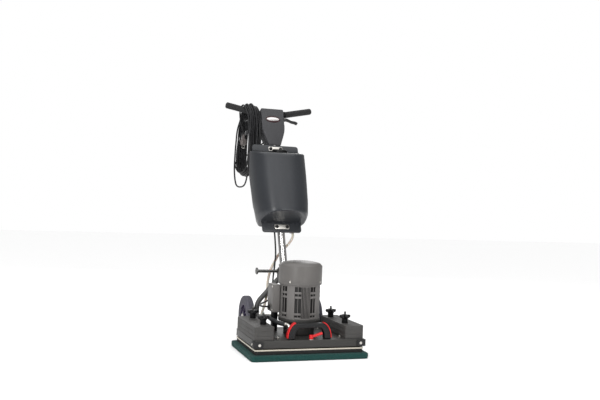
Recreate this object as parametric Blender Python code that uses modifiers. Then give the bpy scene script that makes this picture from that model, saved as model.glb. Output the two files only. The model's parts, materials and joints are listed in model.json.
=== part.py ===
"""Orbital floor scrubber with a rectangular pad, an upright tilting handle and a solution tank.

Metres, +Z up. The origin is the centre of the pad's underside, on the floor. The machine's front
faces -Y and the operator stands behind it, at +Y.
"""

import math

import bmesh
import bpy
import numpy as np
from mathutils import Vector

# ---- Driving dimensions of the base -------------------------------------------------------------
GAP = 0.0003  # between pieces that touch
RUNNING = 0.0003  # radial clearance of a shaft in its hole

BASE_LENGTH = 0.508  # along X
BASE_WIDTH = 0.356  # along Y
PAD_OVERHANG_X = 0.020
PAD_OVERHANG_Y = 0.022
PAD_THICKNESS = 0.025
GRIP_THICKNESS = 0.0167
DRIVER_THICKNESS = 0.006
DRIVER_GAP = 0.004  # between the driver plate and the chassis skirt
CHASSIS_HEIGHT = 0.034
CHASSIS_WALL = 0.008
CHASSIS_CORNER = 0.012
ORBIT = 0.003  # the eccentric's throw

WEIGHT_WIDTH = 0.089
WEIGHT_FRONT_SETBACK = 0.007
WEIGHT_REAR_SETBACK = 0.015
WEIGHT_THICKNESSES = (0.0385, 0.0190)  # lower and upper slab
STUD_RADIUS = 0.005
STUD_INSET = 0.059  # from the chassis side to the stud's axis
STUD_FRONT_Y = -0.085
STUD_REAR_Y = 0.100
STUD_ABOVE_WEIGHTS = 0.053
KNOB_RADIUS = 0.025
KNOB_BOSS_RADIUS = 0.014
KNOB_BOSS_HEIGHT = 0.024
KNOB_HEAD_HEIGHT = 0.014

# ---- Motor and drive ----------------------------------------------------------------------------
SHAFT_RADIUS = 0.009
CAM_RADIUS = 0.014
RING_INNER_RADIUS = 0.0225
RING_OUTER_RADIUS = 0.032
CUP_WALL = 0.008
HOUSING_WALL = 0.020
HOUSING_HEIGHT = 0.060
HOUSING_WEB = 0.012
FLANGE_RADIUS = 0.097
FLANGE_THICKNESS = 0.014
MOTOR_CORE_RADIUS = 0.086
MOTOR_FIN_RADIUS = 0.094
MOTOR_WALL = 0.006
MOTOR_HEIGHT = 0.155
MOTOR_WEB = 0.012
STATOR_RADIAL = 0.020
STATOR_HEIGHT = 0.090
AIR_GAP = 0.0015
COWL_RADIUS = 0.101
COWL_WALL = 0.0025
COWL_HEIGHT = 0.089
COWL_DOME = 0.019
TERMINAL_BOX_X = (-0.132, -0.0965)
TERMINAL_BOX_Y = (-0.010, 0.080)
TERMINAL_BOX_LOW = 0.184
TERMINAL_BOX_DROP = 0.0036  # how far its top stays under the motor's

# ---- Front fittings -----------------------------------------------------------------------------
LIFT_Y = -0.150
LIFT_DEPTH = 0.030
LIFT_SPAN = 0.056  # half the straight top bar
LIFT_ARM = 0.043  # outward reach of each curved arm
LIFT_HEIGHT = 0.071
LIFT_BAR = 0.021
LIFT_FOOT = 0.030
TRIM_THICKNESS = 0.005
CLAMP_X = 0.006
CLAMP_Y = -0.163
BUMPER_LENGTH = 0.035
BUMPER_THICKNESS = 0.007

# ---- Wheels and yoke ----------------------------------------------------------------------------
WHEEL_RADIUS = 0.099
WHEEL_WIDTH = 0.038
WHEEL_X = 0.175
AXLE_Y = 0.300
AXLE_Z = 0.125
AXLE_RADIUS = 0.008
HUB_RADIUS = 0.064
LEG_X = 0.137
LEG_Y = 0.250
LEG_RADIUS = 0.0125
LEG_BEND_Z = 0.195
LEG_TOP = (0.040, 0.303)  # x and z where each leg's axis enters the head
FOOT_PLATE = 0.016

# ---- Handle: its pivot, its lean, and places along and across the pole ------------------------------
PIVOT_Y = 0.258
PIVOT_Z = 0.350
LEAN_DEGREES = 22.36
POLE_RADIUS = 0.019
PIN_RADIUS = 0.008
LUG_HALF = 0.020
LUG_ROUND = 0.018
CHEEK = 0.010
PEG_RADIUS = 0.0075
PEG_END_X = -0.145
PEG_DISC_RADIUS = 0.017

PEDAL_Y = PIVOT_Y - 0.034
PEDAL_Z = PIVOT_Z - 0.014

TANK_BACK = -0.012  # local y of the flange's back
TANK_FLANGE = 0.011
TANK_BELLY = 0.145  # how far the belly stands in front of the flange
TANK_LOW = 0.2465  # local z of the belly's foot at the flange
TANK_HIGH = 0.6515
TANK_FRONT_RISE = 0.015  # the belly's foot climbs this much towards the front
TANK_FRONT_DROP = 0.075  # and its top falls this much
TANK_WALL = 0.004
TANK_LOBE = 0.028  # local y that the lobes on both sides of the pole reach
TANK_CHANNEL = 0.045  # half the gap between the lobes
TANK_TOP_FLANGE = (0.126, 0.037)  # half width and height
TANK_LOW_FLANGE = (0.103, 0.048)
FILLER_RADIUS = 0.030
FILLER_REACH = 0.070  # from the flange to the filler's axis
OUTLET_X = 0.061
OUTLET_Z = 0.2045  # local z of the outlet boss's foot
CLAMP_PLATE = (0.076, 0.003, 0.024)

BOX_BOTTOM = 0.6915
BOX_TOP = 0.9115
BOX_FRONT = -(POLE_RADIUS + 0.004)
BOX_BACK = 0.042
BOX_HALF = 0.063
BOX_WALL = 0.0033
COVER_THICKNESS = 0.003
BAR_Z = 0.8965
BAR_Y = 0.015
BAR_RADIUS = 0.0125
BAR_STRAIGHT = 0.070
BAR_END = (0.233, 0.032, 0.9425)
GRIP_RADIUS = 0.017
GRIP_START = 0.078  # x where each grip begins
BUTTON_Z = 0.8285
BUTTON_RADIUS = 0.006
TRIGGER_X = 0.078
TRIGGER_Z = 0.870
TRIGGER_REACH = 0.068
TRIGGER_DROP = 0.016

CORD_RADIUS = 0.00425
HOSE_RADIUS = 0.0065
HANK_CENTRE = (-0.118, 0.636)
HANK_TURN_DEGREES = 12.0
HANK_FRONT = -0.060  # the loop's inner edges, along its own plane
HANK_BACK = 0.070
HANK_BUNDLE = 0.040
HANK_THICKNESS = 0.054
HANK_INNER_TOP = 1.2145
HANK_TOP = 1.2330
HANK_BOTTOM = 0.826
PLUG_THICKNESS = 0.030
GLAND_AT = (-0.030, 0.760)  # local x and z
FEED_RADIUS = 0.010
FEED_ROUTE = [(-0.115, 0.215, 0.134), (-0.116, 0.120, 0.146), (-0.123, 0.030, 0.147), (-0.114, -0.035, 0.143),
              (-0.090, -0.080, 0.140)]
VALVE_HALF = 0.016
VALVE_HEIGHT = 0.036
MOTOR_CABLE_ROUTE = [
    (-0.0300, 0.5320, 0.9840), (-0.0300, 0.5120, 0.9350), (-0.0300, 0.4550, 0.7970), (-0.0300, 0.3780, 0.6100),
    (-0.0320, 0.3130, 0.4520), (-0.0400, 0.2930, 0.3800), (-0.0470, 0.2880, 0.3200), (-0.0500, 0.2850, 0.2750),
    (-0.0580, 0.2620, 0.2330), (-0.0780, 0.2280, 0.2160), (-0.1080, 0.1910, 0.2090), (-0.1400, 0.1480, 0.2060),
    (-0.1610, 0.1050, 0.2050), (-0.1670, 0.0700, 0.2050), (-0.1630, 0.0550, 0.2050), (-0.1520, 0.0440, 0.2050),
    (-0.1380, 0.0400, 0.2050), (-0.1338, 0.0400, 0.2050),
]
SOLUTION_ROUTE = [
    (0.0610, 0.3347, 0.5390), (0.0605, 0.3263, 0.5187), (0.0450, 0.3300, 0.4880), (0.0200, 0.3360, 0.4580),
    (-0.0100, 0.3290, 0.4280), (-0.0350, 0.3140, 0.3920), (-0.0530, 0.3040, 0.3620), (-0.0670, 0.2950, 0.3270),
    (-0.0780, 0.2790, 0.2840), (-0.0810, 0.2700, 0.2400), (-0.0970, 0.2560, 0.1800), (-0.1090, 0.2490, 0.1480),
    (-0.1146, 0.2330, 0.1350), (-0.1150, 0.2168, 0.1340),
]
CORD_LEAD_ROUTE = [
    (-0.0300, 0.6200, 1.0220), (-0.0330, 0.6400, 1.0130), (-0.0480, 0.6820, 0.9900), (-0.0700, 0.7120, 0.9720),
    (-0.0870, 0.7280, 0.9570), (-0.0980, 0.7318, 0.9500), (-0.1085, 0.7299, 0.9500),
]

# ---- Sizes that follow --------------------------------------------------------------------------
GRIP_Z = PAD_THICKNESS + GAP
DRIVER_Z = GRIP_Z + GRIP_THICKNESS
DRIVER_TOP = DRIVER_Z + DRIVER_THICKNESS
CHASSIS_Z = DRIVER_TOP + DRIVER_GAP
CHASSIS_TOP = CHASSIS_Z + CHASSIS_HEIGHT
HALF_X = BASE_LENGTH / 2
HALF_Y = BASE_WIDTH / 2
CUP_INNER_RADIUS = RING_OUTER_RADIUS + ORBIT + 0.001
CUP_OUTER_RADIUS = CUP_INNER_RADIUS + CUP_WALL
HOUSING_INNER_RADIUS = CUP_OUTER_RADIUS + math.sqrt(2) * ORBIT + 0.003
HOUSING_OUTER_RADIUS = HOUSING_INNER_RADIUS + HOUSING_WALL
HOUSING_Z = CHASSIS_TOP + GAP
FLANGE_TOP = HOUSING_Z + HOUSING_HEIGHT + FLANGE_THICKNESS
MOTOR_Z = FLANGE_TOP + GAP
MOTOR_TOP = MOTOR_Z + MOTOR_HEIGHT
COWL_Z = MOTOR_TOP + GAP
CUP_TOP = CHASSIS_TOP + 0.006
RING_Z = (DRIVER_TOP + 0.014, CUP_TOP - 0.004)
STUD_X = HALF_X - STUD_INSET
WEIGHT_Z = CHASSIS_TOP + GAP
WEIGHT_TOP = WEIGHT_Z + sum(WEIGHT_THICKNESSES) + GAP
LEAN = math.radians(LEAN_DEGREES)

PARTS = "orbital_floor_scrubber"


# ---- Scene and materials ------------------------------------------------------------------------
def clear_scene():
    for item in list(bpy.data.objects):
        bpy.data.objects.remove(item, do_unlink=True)
    for name in (PARTS, "cutters"):
        made = bpy.data.collections.new(name)
        bpy.context.scene.collection.children.link(made)


def material(name, colour, metallic, roughness):
    made = bpy.data.materials.new(name)
    made.use_nodes = True
    shader = made.node_tree.nodes["Principled BSDF"]
    shader.inputs["Base Color"].default_value = (*colour, 1.0)
    shader.inputs["Metallic"].default_value = metallic
    shader.inputs["Roughness"].default_value = roughness
    return made


LOOKS = {
    "grey_paint": ((0.10, 0.10, 0.105), 0.0, 0.45),
    "motor_paint": ((0.20, 0.19, 0.18), 0.1, 0.45),
    "cast_weight": ((0.12, 0.12, 0.115), 0.2, 0.55),
    "steel": ((0.60, 0.58, 0.55), 1.0, 0.35),
    "chrome": ((0.80, 0.80, 0.80), 1.0, 0.08),
    "copper": ((0.50, 0.22, 0.10), 1.0, 0.45),
    "bronze": ((0.50, 0.36, 0.16), 1.0, 0.40),
    "black_plastic": ((0.012, 0.012, 0.013), 0.0, 0.45),
    "black_rubber": ((0.015, 0.015, 0.016), 0.0, 0.75),
    "red_plastic": ((0.55, 0.02, 0.02), 0.0, 0.35),
    "tyre_grey": ((0.09, 0.09, 0.105), 0.0, 0.80),
    "hub_purple": ((0.05, 0.03, 0.08), 0.0, 0.50),
    "pad_green": ((0.004, 0.060, 0.050), 0.0, 0.95),
    "tank_grey": ((0.065, 0.078, 0.090), 0.0, 0.45),
    "box_grey": ((0.115, 0.120, 0.125), 0.0, 0.50),
    "clear_hose": ((0.60, 0.56, 0.46), 0.0, 0.40),
    "plug_grey": ((0.22, 0.19, 0.18), 0.0, 0.45),
}


def place(name, mesh, look, parent=None, location=(0, 0, 0), rotation=(0, 0, 0)):
    """A part from a mesh, with its material and its smooth shading."""
    item = bpy.data.objects.new(name, mesh)
    item.location = location
    item.rotation_euler = rotation
    item.parent = parent
    if look is None:
        bpy.data.collections["cutters"].objects.link(item)
        item.hide_render = True
        item.display_type = "WIRE"
        return item
    bpy.data.collections[PARTS].objects.link(item)
    mesh.materials.append(bpy.data.materials[look])
    mesh.shade_smooth()
    mesh.set_sharp_from_angle(angle=math.radians(35))
    return item


def mesh_of(name, work):
    mesh = bpy.data.meshes.new(name)
    bmesh.ops.recalc_face_normals(work, faces=work.faces)
    work.to_mesh(mesh)
    work.free()
    return mesh


def boolean(target, other, operation):
    step = target.modifiers.new(other.name, "BOOLEAN")
    step.operation = operation
    step.object = other
    return target


def join(target, *others):
    for other in others:
        boolean(target, other, "UNION")
    return target


def cut(target, *others):
    for other in others:
        boolean(target, other, "DIFFERENCE")
    return target


def bevel(item, width):
    step = item.modifiers.new("rounded_edges", "BEVEL")
    step.width = width
    step.segments = 2
    step.limit_method = "ANGLE"
    return item


# ---- Shapes ---------------------------------------------------------------------------------------
def box(name, look, low, high, parent=None):
    low, high = Vector(low), Vector(high)
    work = bmesh.new()
    bmesh.ops.create_cube(work, size=1.0)
    bmesh.ops.scale(work, vec=high - low, verts=work.verts)
    return place(name, mesh_of(name, work), look, parent, (low + high) / 2)


TURNS = {"X": (0, math.pi / 2, 0), "Y": (-math.pi / 2, 0, 0), "Z": (0, 0, 0)}


def rod(name, look, radius, start, length, axis="Z", parent=None, sides=24):
    """A cylinder that runs from start along a positive axis."""
    work = bmesh.new()
    bmesh.ops.create_cone(work, cap_ends=True, segments=sides, radius1=radius, radius2=radius, depth=length)
    bmesh.ops.translate(work, vec=(0, 0, length / 2), verts=work.verts)
    return place(name, mesh_of(name, work), look, parent, start, TURNS[axis])


def turned(name, look, profile, parent=None, location=(0, 0, 0), rotation=(0, 0, 0), steps=32):
    """A closed profile of (radius, height) points turned about the local Z axis."""
    area = sum(a[0] * b[1] - b[0] * a[1] for a, b in zip(profile, profile[1:] + profile[:1]))
    ordered = profile if area < 0 else profile[::-1]
    work = bmesh.new()
    verts = [work.verts.new((r, 0, z)) for r, z in ordered]
    for first, second in zip(verts, verts[1:] + verts[:1]):
        if first.co.x > 0 or second.co.x > 0:
            work.edges.new((first, second))
    mesh = bpy.data.meshes.new(name)
    work.to_mesh(mesh)
    work.free()
    item = place(name, mesh, look, parent, location, rotation)
    screw = item.modifiers.new("turned", "SCREW")
    screw.steps = screw.render_steps = steps
    screw.use_merge_vertices = True
    screw.merge_threshold = 0.00001
    screw.use_smooth_shade = True
    return item


def curve_mesh(name, curve):
    """The closed mesh of a curve, with its caps welded on."""
    item = bpy.data.objects.new(name, curve)
    bpy.context.scene.collection.objects.link(item)
    bpy.context.view_layer.update()
    graph = bpy.context.evaluated_depsgraph_get()
    mesh = bpy.data.meshes.new_from_object(item.evaluated_get(graph))
    bpy.data.objects.remove(item, do_unlink=True)
    mesh.name = name
    work = bmesh.new()
    work.from_mesh(mesh)
    bmesh.ops.remove_doubles(work, verts=work.verts, dist=0.00001)
    bmesh.ops.recalc_face_normals(work, faces=work.faces)
    work.to_mesh(mesh)
    work.free()
    return mesh


def spline(curve, points, cyclic):
    line = curve.splines.new("POLY")
    line.points.add(len(points) - 1)
    for target, point in zip(line.points, points):
        target.co = (*point, 0.0, 1.0) if len(point) == 2 else (*point, 1.0)
    line.use_cyclic_u = cyclic


def plate(name, look, outlines, thickness, plane="XY", parent=None, location=(0, 0, 0)):
    """Flat outlines, the first one outside and the rest holes, made thickness deep about a plane."""
    curve = bpy.data.curves.new(name, "CURVE")
    curve.dimensions = "2D"
    curve.fill_mode = "BOTH"
    curve.extrude = thickness / 2
    for outline in outlines:
        spline(curve, outline, True)
    rotation = {"XY": (0, 0, 0), "XZ": (math.pi / 2, 0, 0), "YZ": (math.pi / 2, 0, math.pi / 2)}
    return place(name, curve_mesh(name, curve), look, parent, location, rotation[plane])


def tube(name, look, points, radius, parent=None, resolution=3):
    curve = bpy.data.curves.new(name, "CURVE")
    curve.dimensions = "3D"
    curve.bevel_depth = radius
    curve.bevel_resolution = resolution
    curve.use_fill_caps = True
    spline(curve, points, False)
    return place(name, curve_mesh(name, curve), look, parent)


def smooth_route(points, spacing):
    """Points spaced evenly along a Catmull-Rom curve through the given points."""
    points = [np.array(p, float) for p in points]
    ends = [2 * points[0] - points[1], *points, 2 * points[-1] - points[-2]]
    fine = []
    for a, b, c, d in zip(ends, ends[1:], ends[2:], ends[3:]):
        for t in np.linspace(0, 1, 24, endpoint=False):
            fine.append(
                0.5 * (2 * b + (c - a) * t + (2 * a - 5 * b + 4 * c - d) * t**2
                       + (3 * b - a - 3 * c + d) * t**3)
            )
    fine.append(points[-1])
    fine = np.array(fine)
    along = np.concatenate([[0], np.cumsum(np.linalg.norm(np.diff(fine, axis=0), axis=1))])
    places = np.linspace(0, along[-1], max(2, round(along[-1] / spacing)) + 1)
    return [tuple(np.interp(places, along, fine[:, k])[i] for k in range(3)) for i in range(len(places))]


def circle(radius, centre=(0, 0), sides=24):
    steps = (2 * math.pi * i / sides for i in range(sides))
    return [(centre[0] + radius * math.cos(a), centre[1] + radius * math.sin(a)) for a in steps]


def arc(centre, radii, start, end, count=6):
    """Points of an elliptic arc, in degrees."""
    angles = np.radians(np.linspace(start, end, count))
    return [(centre[0] + radii[0] * math.cos(a), centre[1] + radii[1] * math.sin(a)) for a in angles]


def rounded_box(low, high, radius, count=4):
    (x0, y0), (x1, y1) = low, high
    corners = ((x1 - radius, y1 - radius, 0), (x0 + radius, y1 - radius, 90),
               (x0 + radius, y0 + radius, 180), (x1 - radius, y0 + radius, 270))
    points = []
    for x, y, start in corners:
        points += arc((x, y), (radius, radius), start, start + 90, count)
    return points


# ---- The scrubbing deck -------------------------------------------------------------------------
def make_pad_stack():
    half_x = HALF_X + PAD_OVERHANG_X
    half_y = HALF_Y + PAD_OVERHANG_Y
    plate("pad", "pad_green", [rounded_box((-half_x, -half_y), (half_x, half_y), 0.018)],
          PAD_THICKNESS, location=(0, 0, PAD_THICKNESS / 2))
    inset = 0.003
    plate("pad_grip", "black_rubber",
          [rounded_box((inset - HALF_X, inset - HALF_Y), (HALF_X - inset, HALF_Y - inset), 0.010)],
          GRIP_THICKNESS - GAP, location=(0, 0, GRIP_Z + (GRIP_THICKNESS - GAP) / 2))
    driver = plate("driver_plate", "steel",
                   [rounded_box((-HALF_X, -HALF_Y), (HALF_X, HALF_Y), CHASSIS_CORNER)],
                   DRIVER_THICKNESS, location=(0, 0, DRIVER_Z + DRIVER_THICKNESS / 2))
    overlap = 0.002
    cup = plate("driver_cup", None, [circle(CUP_OUTER_RADIUS, sides=32), circle(CUP_INNER_RADIUS, sides=32)],
                CUP_TOP - DRIVER_TOP + overlap, location=(0, 0, (CUP_TOP + DRIVER_TOP - overlap) / 2))
    join(driver, cup)
    for side, sign in (("left", -1), ("right", 1)):
        centre = sign * (HALF_X - 0.040)
        low, high = DRIVER_TOP + GAP, CHASSIS_TOP - CHASSIS_WALL - GAP
        box(f"isolator_{side}", "black_rubber",
            (centre - 0.012, 0.030 - HALF_Y, low), (centre + 0.012, HALF_Y - 0.030, high))


def stud_places():
    for side, sign in (("left", -1), ("right", 1)):
        for end, y in (("front", STUD_FRONT_Y), ("rear", STUD_REAR_Y)):
            yield f"{end}_{side}", sign * STUD_X, y


def make_chassis():
    outline = rounded_box((-HALF_X, -HALF_Y), (HALF_X, HALF_Y), CHASSIS_CORNER)
    chassis = plate("chassis", "grey_paint", [outline], CHASSIS_HEIGHT,
                    location=(0, 0, CHASSIS_Z + CHASSIS_HEIGHT / 2))
    inner_x, inner_y = HALF_X - CHASSIS_WALL, HALF_Y - CHASSIS_WALL
    hollow_top = CHASSIS_TOP - CHASSIS_WALL
    cut(chassis,
        box("chassis_hollow", None, (-inner_x, -inner_y, CHASSIS_Z - 0.01), (inner_x, inner_y, hollow_top)),
        rod("chassis_bore", None, HOUSING_INNER_RADIUS, (0, 0, hollow_top - 0.01), 0.03, sides=32))
    for name, x, y in stud_places():
        join(chassis, rod(f"weight_stud_{name}", None, STUD_RADIUS, (x, y, CHASSIS_TOP - 0.004),
                          WEIGHT_TOP + STUD_ABOVE_WEIGHTS - CHASSIS_TOP + 0.004, sides=12))


def make_bumpers():
    for side, sign in (("left", -1), ("right", 1)):
        reach = HALF_X + GAP + BUMPER_THICKNESS
        front = HALF_Y + GAP + BUMPER_THICKNESS
        outline = [
            (HALF_X + GAP, -HALF_Y + BUMPER_LENGTH),
            (HALF_X + GAP, -HALF_Y - GAP),
            (HALF_X - BUMPER_LENGTH, -HALF_Y - GAP),
            (HALF_X - BUMPER_LENGTH, -front),
            *arc((reach - 0.008, 0.008 - front), (0.008, 0.008), 270, 360, 5),
            (reach, -HALF_Y + BUMPER_LENGTH),
        ]
        plate(f"bumper_{side}", "black_rubber", [[(sign * x, y) for x, y in outline]],
              CHASSIS_HEIGHT - 0.004, location=(0, 0, CHASSIS_Z + CHASSIS_HEIGHT / 2))


def make_weights():
    for side, sign in (("left", -1), ("right", 1)):
        inner, outer = sorted((sign * (HALF_X - WEIGHT_WIDTH), sign * HALF_X))
        outline = rounded_box((inner, -HALF_Y + WEIGHT_FRONT_SETBACK), (outer, HALF_Y - WEIGHT_REAR_SETBACK), 0.010)
        holes = [circle(STUD_RADIUS + 0.001, (sign * STUD_X, y), 12) for y in (STUD_FRONT_Y, STUD_REAR_Y)]
        base = WEIGHT_Z
        for level, thickness in zip(("lower", "upper"), WEIGHT_THICKNESSES):
            plate(f"weight_{side}_{level}", "cast_weight", [outline, *holes], thickness,
                  location=(0, 0, base + thickness / 2))
            base += thickness + GAP


def make_knobs():
    """Four-lobed clamping knobs that run on the threaded studs."""
    lobes = []
    for step in range(32):
        angle = 2 * math.pi * step / 32
        radius = KNOB_RADIUS * (0.76 + 0.24 * math.cos(4 * angle))
        lobes.append((radius * math.cos(angle), radius * math.sin(angle)))
    for name, x, y in stud_places():
        low = WEIGHT_TOP + GAP
        middle = KNOB_BOSS_HEIGHT + KNOB_HEAD_HEIGHT / 2
        knob = plate(f"knob_{name}", "black_plastic", [lobes, circle(STUD_RADIUS + RUNNING, sides=12)],
                     KNOB_HEAD_HEIGHT, location=(x, y, low + middle))
        boss = plate(f"knob_boss_{name}", None,
                     [circle(KNOB_BOSS_RADIUS, sides=20), circle(STUD_RADIUS + RUNNING, sides=12)],
                     KNOB_BOSS_HEIGHT + 0.002, location=(x, y, low + (KNOB_BOSS_HEIGHT + 0.002) / 2))
        join(knob, boss)


# ---- Motor, drive housing and eccentric -----------------------------------------------------------
def make_drive():
    inner, outer = HOUSING_INNER_RADIUS, HOUSING_OUTER_RADIUS
    hollow = CUP_TOP + 0.008 - HOUSING_Z
    web = hollow + HOUSING_WEB
    flange = HOUSING_HEIGHT
    top = HOUSING_HEIGHT + FLANGE_THICKNESS
    shaft_hole = SHAFT_RADIUS + RUNNING
    turned("drive_housing", "grey_paint", [
        (inner, 0), (outer, 0), (outer, flange), (FLANGE_RADIUS, flange), (FLANGE_RADIUS, top),
        (inner, top), (inner, web), (shaft_hole, web), (shaft_hole, hollow), (inner, hollow),
    ], location=(0, 0, HOUSING_Z), steps=32)
    ring_length = RING_Z[1] - RING_Z[0]
    rings = [circle(RING_OUTER_RADIUS, sides=28), circle(RING_INNER_RADIUS, sides=28)]
    plate("eccentric_bearing", "bronze", rings, ring_length, location=(0, 0, sum(RING_Z) / 2))
    cam = [circle(CAM_RADIUS, (ORBIT, 0), 24), circle(shaft_hole, sides=24)]
    plate("eccentric", "steel", cam, ring_length, location=(0, 0, sum(RING_Z) / 2))


def finned_outline():
    """Four bands of cooling fins, with a smooth corner between each two."""
    points = []
    fin_pitch, fins, half_fin = math.radians(9.0), 6, math.radians(2.3)
    for quarter in range(4):
        middle = quarter * math.pi / 2
        for index in range(fins):
            angle = middle + (index - (fins - 1) / 2) * fin_pitch
            for offset, radius in ((-half_fin, MOTOR_CORE_RADIUS), (-half_fin, MOTOR_FIN_RADIUS),
                                   (half_fin, MOTOR_FIN_RADIUS), (half_fin, MOTOR_CORE_RADIUS)):
                points.append((radius * math.cos(angle + offset), radius * math.sin(angle + offset)))
        start = middle + fins / 2 * fin_pitch
        end = middle + math.pi / 2 - fins / 2 * fin_pitch
        for angle in np.linspace(start, end, 7):
            points.append((MOTOR_FIN_RADIUS * math.cos(angle), MOTOR_FIN_RADIUS * math.sin(angle)))
    return points


def make_motor():
    bore = MOTOR_CORE_RADIUS - MOTOR_WALL
    body = plate("motor_body", "motor_paint", [finned_outline()], MOTOR_HEIGHT,
                 location=(0, 0, MOTOR_Z + MOTOR_HEIGHT / 2))
    cut(body,
        rod("motor_bore", None, bore, (0, 0, MOTOR_Z - 0.01), MOTOR_HEIGHT - MOTOR_WEB + 0.01, sides=28),
        rod("motor_shaft_hole", None, SHAFT_RADIUS + RUNNING, (0, 0, MOTOR_Z), MOTOR_HEIGHT + 0.01, sides=24))
    stator_z = MOTOR_Z + 0.025
    stator_bore = bore - GAP - STATOR_RADIAL
    plate("stator", "copper", [circle(bore - GAP, sides=28), circle(stator_bore, sides=28)],
          STATOR_HEIGHT, location=(0, 0, stator_z + STATOR_HEIGHT / 2))
    core_low, core_high = stator_z, stator_z + STATOR_HEIGHT
    shaft_low, shaft_high = RING_Z[0] - 0.004, MOTOR_TOP + 0.045
    turned("rotor", "steel", [
        (0, shaft_low), (SHAFT_RADIUS, shaft_low), (SHAFT_RADIUS, core_low),
        (stator_bore - AIR_GAP, core_low), (stator_bore - AIR_GAP, core_high),
        (SHAFT_RADIUS, core_high), (SHAFT_RADIUS, shaft_high), (0, shaft_high),
    ], steps=24)
    make_cooling_fan()
    wall = COWL_RADIUS - COWL_WALL
    turned("fan_cowl", "motor_paint", [
        (COWL_RADIUS, 0), (COWL_RADIUS, COWL_HEIGHT - 0.006), (COWL_RADIUS - 0.006, COWL_HEIGHT),
        *((COWL_RADIUS * math.cos(a), COWL_HEIGHT + COWL_DOME * math.sin(a)) for a in np.radians((35, 55, 75))),
        (0, COWL_HEIGHT + COWL_DOME), (0, COWL_HEIGHT + COWL_DOME - COWL_WALL),
        *((wall * math.cos(a), COWL_HEIGHT + (COWL_DOME - COWL_WALL) * math.sin(a))
          for a in np.radians((75, 55, 35))),
        (wall - 0.006, COWL_HEIGHT - COWL_WALL), (wall, COWL_HEIGHT - 0.006 - COWL_WALL), (wall, 0),
    ], location=(0, 0, COWL_Z), steps=32)
    x, y, z = TERMINAL_BOX_X, TERMINAL_BOX_Y, (TERMINAL_BOX_LOW, MOTOR_TOP - TERMINAL_BOX_DROP)
    bevel(box("terminal_box", "motor_paint", (x[0], y[0], z[0]), (x[1], y[1], z[1])), 0.006)


def make_cooling_fan():
    low, height, blades = MOTOR_TOP + 0.015, 0.028, 6
    hub_hole = SHAFT_RADIUS + RUNNING
    fan = plate("cooling_fan", "black_plastic", [circle(0.020, sides=20), circle(hub_hole, sides=24)],
                height, location=(0, 0, low + height / 2))
    for index in range(blades):
        blade = box(f"fan_blade_{index}", None, (0.017, -0.0015, -height / 2 + 0.002),
                    (0.080, 0.0015, height / 2 - 0.002))
        angle = 2 * math.pi * index / blades
        blade.location = (0.0485 * math.cos(angle), 0.0485 * math.sin(angle), low + height / 2)
        blade.rotation_euler = (0, 0, angle)
        join(fan, blade)


# ---- Lift handle, clamp lever and feed hose ------------------------------------------------------
def make_lift_handle():
    foot = (LIFT_SPAN, 0)
    inner = (LIFT_SPAN - 0.008, 0)
    outer_radii = (LIFT_ARM, LIFT_HEIGHT)
    inner_radii = (LIFT_ARM + 0.008 - LIFT_FOOT, LIFT_HEIGHT - LIFT_BAR)
    right_outer = arc(foot, outer_radii, 0, 90, 8)
    right_inner = arc(inner, inner_radii, 90, 0, 8)
    outline = [*right_outer, *[(-x, z) for x, z in right_outer[::-1]],
               *[(-x, z) for x, z in right_inner[::-1]], *right_inner]
    base = CHASSIS_TOP + GAP
    plate("lift_handle", "black_plastic", [outline], LIFT_DEPTH, "XZ", location=(0, LIFT_Y, base))
    skin = [r + GAP for r in outer_radii]
    back = [r + GAP + TRIM_THICKNESS for r in outer_radii]
    strip = [*arc(foot, back, 4, 78, 8), *arc(foot, skin, 78, 4, 8)]
    for side, sign in (("left", -1), ("right", 1)):
        plate(f"lift_handle_trim_{side}", "red_plastic", [[(sign * x, z) for x, z in strip]],
              LIFT_DEPTH - 0.006, "XZ", location=(0, LIFT_Y, base))


def make_clamp_lever():
    """A red lever on a post: it turns about the post to clamp or free the handle bracket."""
    low = CHASSIS_TOP + GAP
    lever = rod("clamp_lever", "red_plastic", 0.009, (CLAMP_X, CLAMP_Y, low), 0.020, sides=20)
    arm = tube("clamp_lever_arm", None, [(CLAMP_X, CLAMP_Y, low + 0.012), (CLAMP_X + 0.030, CLAMP_Y, low + 0.020),
                                         (CLAMP_X + 0.058, CLAMP_Y, low + 0.029)], 0.0052)
    join(lever, arm)


def make_feed():
    """The feed hose along the deck, and its elbow on the valve block."""
    tube("feed_hose", "black_rubber", smooth_route(FEED_ROUTE, 0.018), FEED_RADIUS)
    x, y, z = FEED_ROUTE[-1]
    stand_x, stand_y, deck = x + 0.0122, y - 0.0232, CHASSIS_TOP + GAP
    valve_top = deck + VALVE_HEIGHT
    elbow = rod("feed_elbow", "steel", 0.010, (stand_x, stand_y, valve_top - 0.010), z + 0.020 - valve_top, sides=16)
    collar_start = (x + 0.0006, y - 0.0011, z - 0.0001)
    join(elbow, tube("feed_elbow_collar", None, [collar_start, (stand_x, stand_y, z - 0.0015)], 0.0095))
    join(elbow, box("feed_valve", None, (stand_x - VALVE_HALF, stand_y - VALVE_HALF, deck),
                    (stand_x + VALVE_HALF, stand_y + VALVE_HALF, valve_top)))


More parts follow.
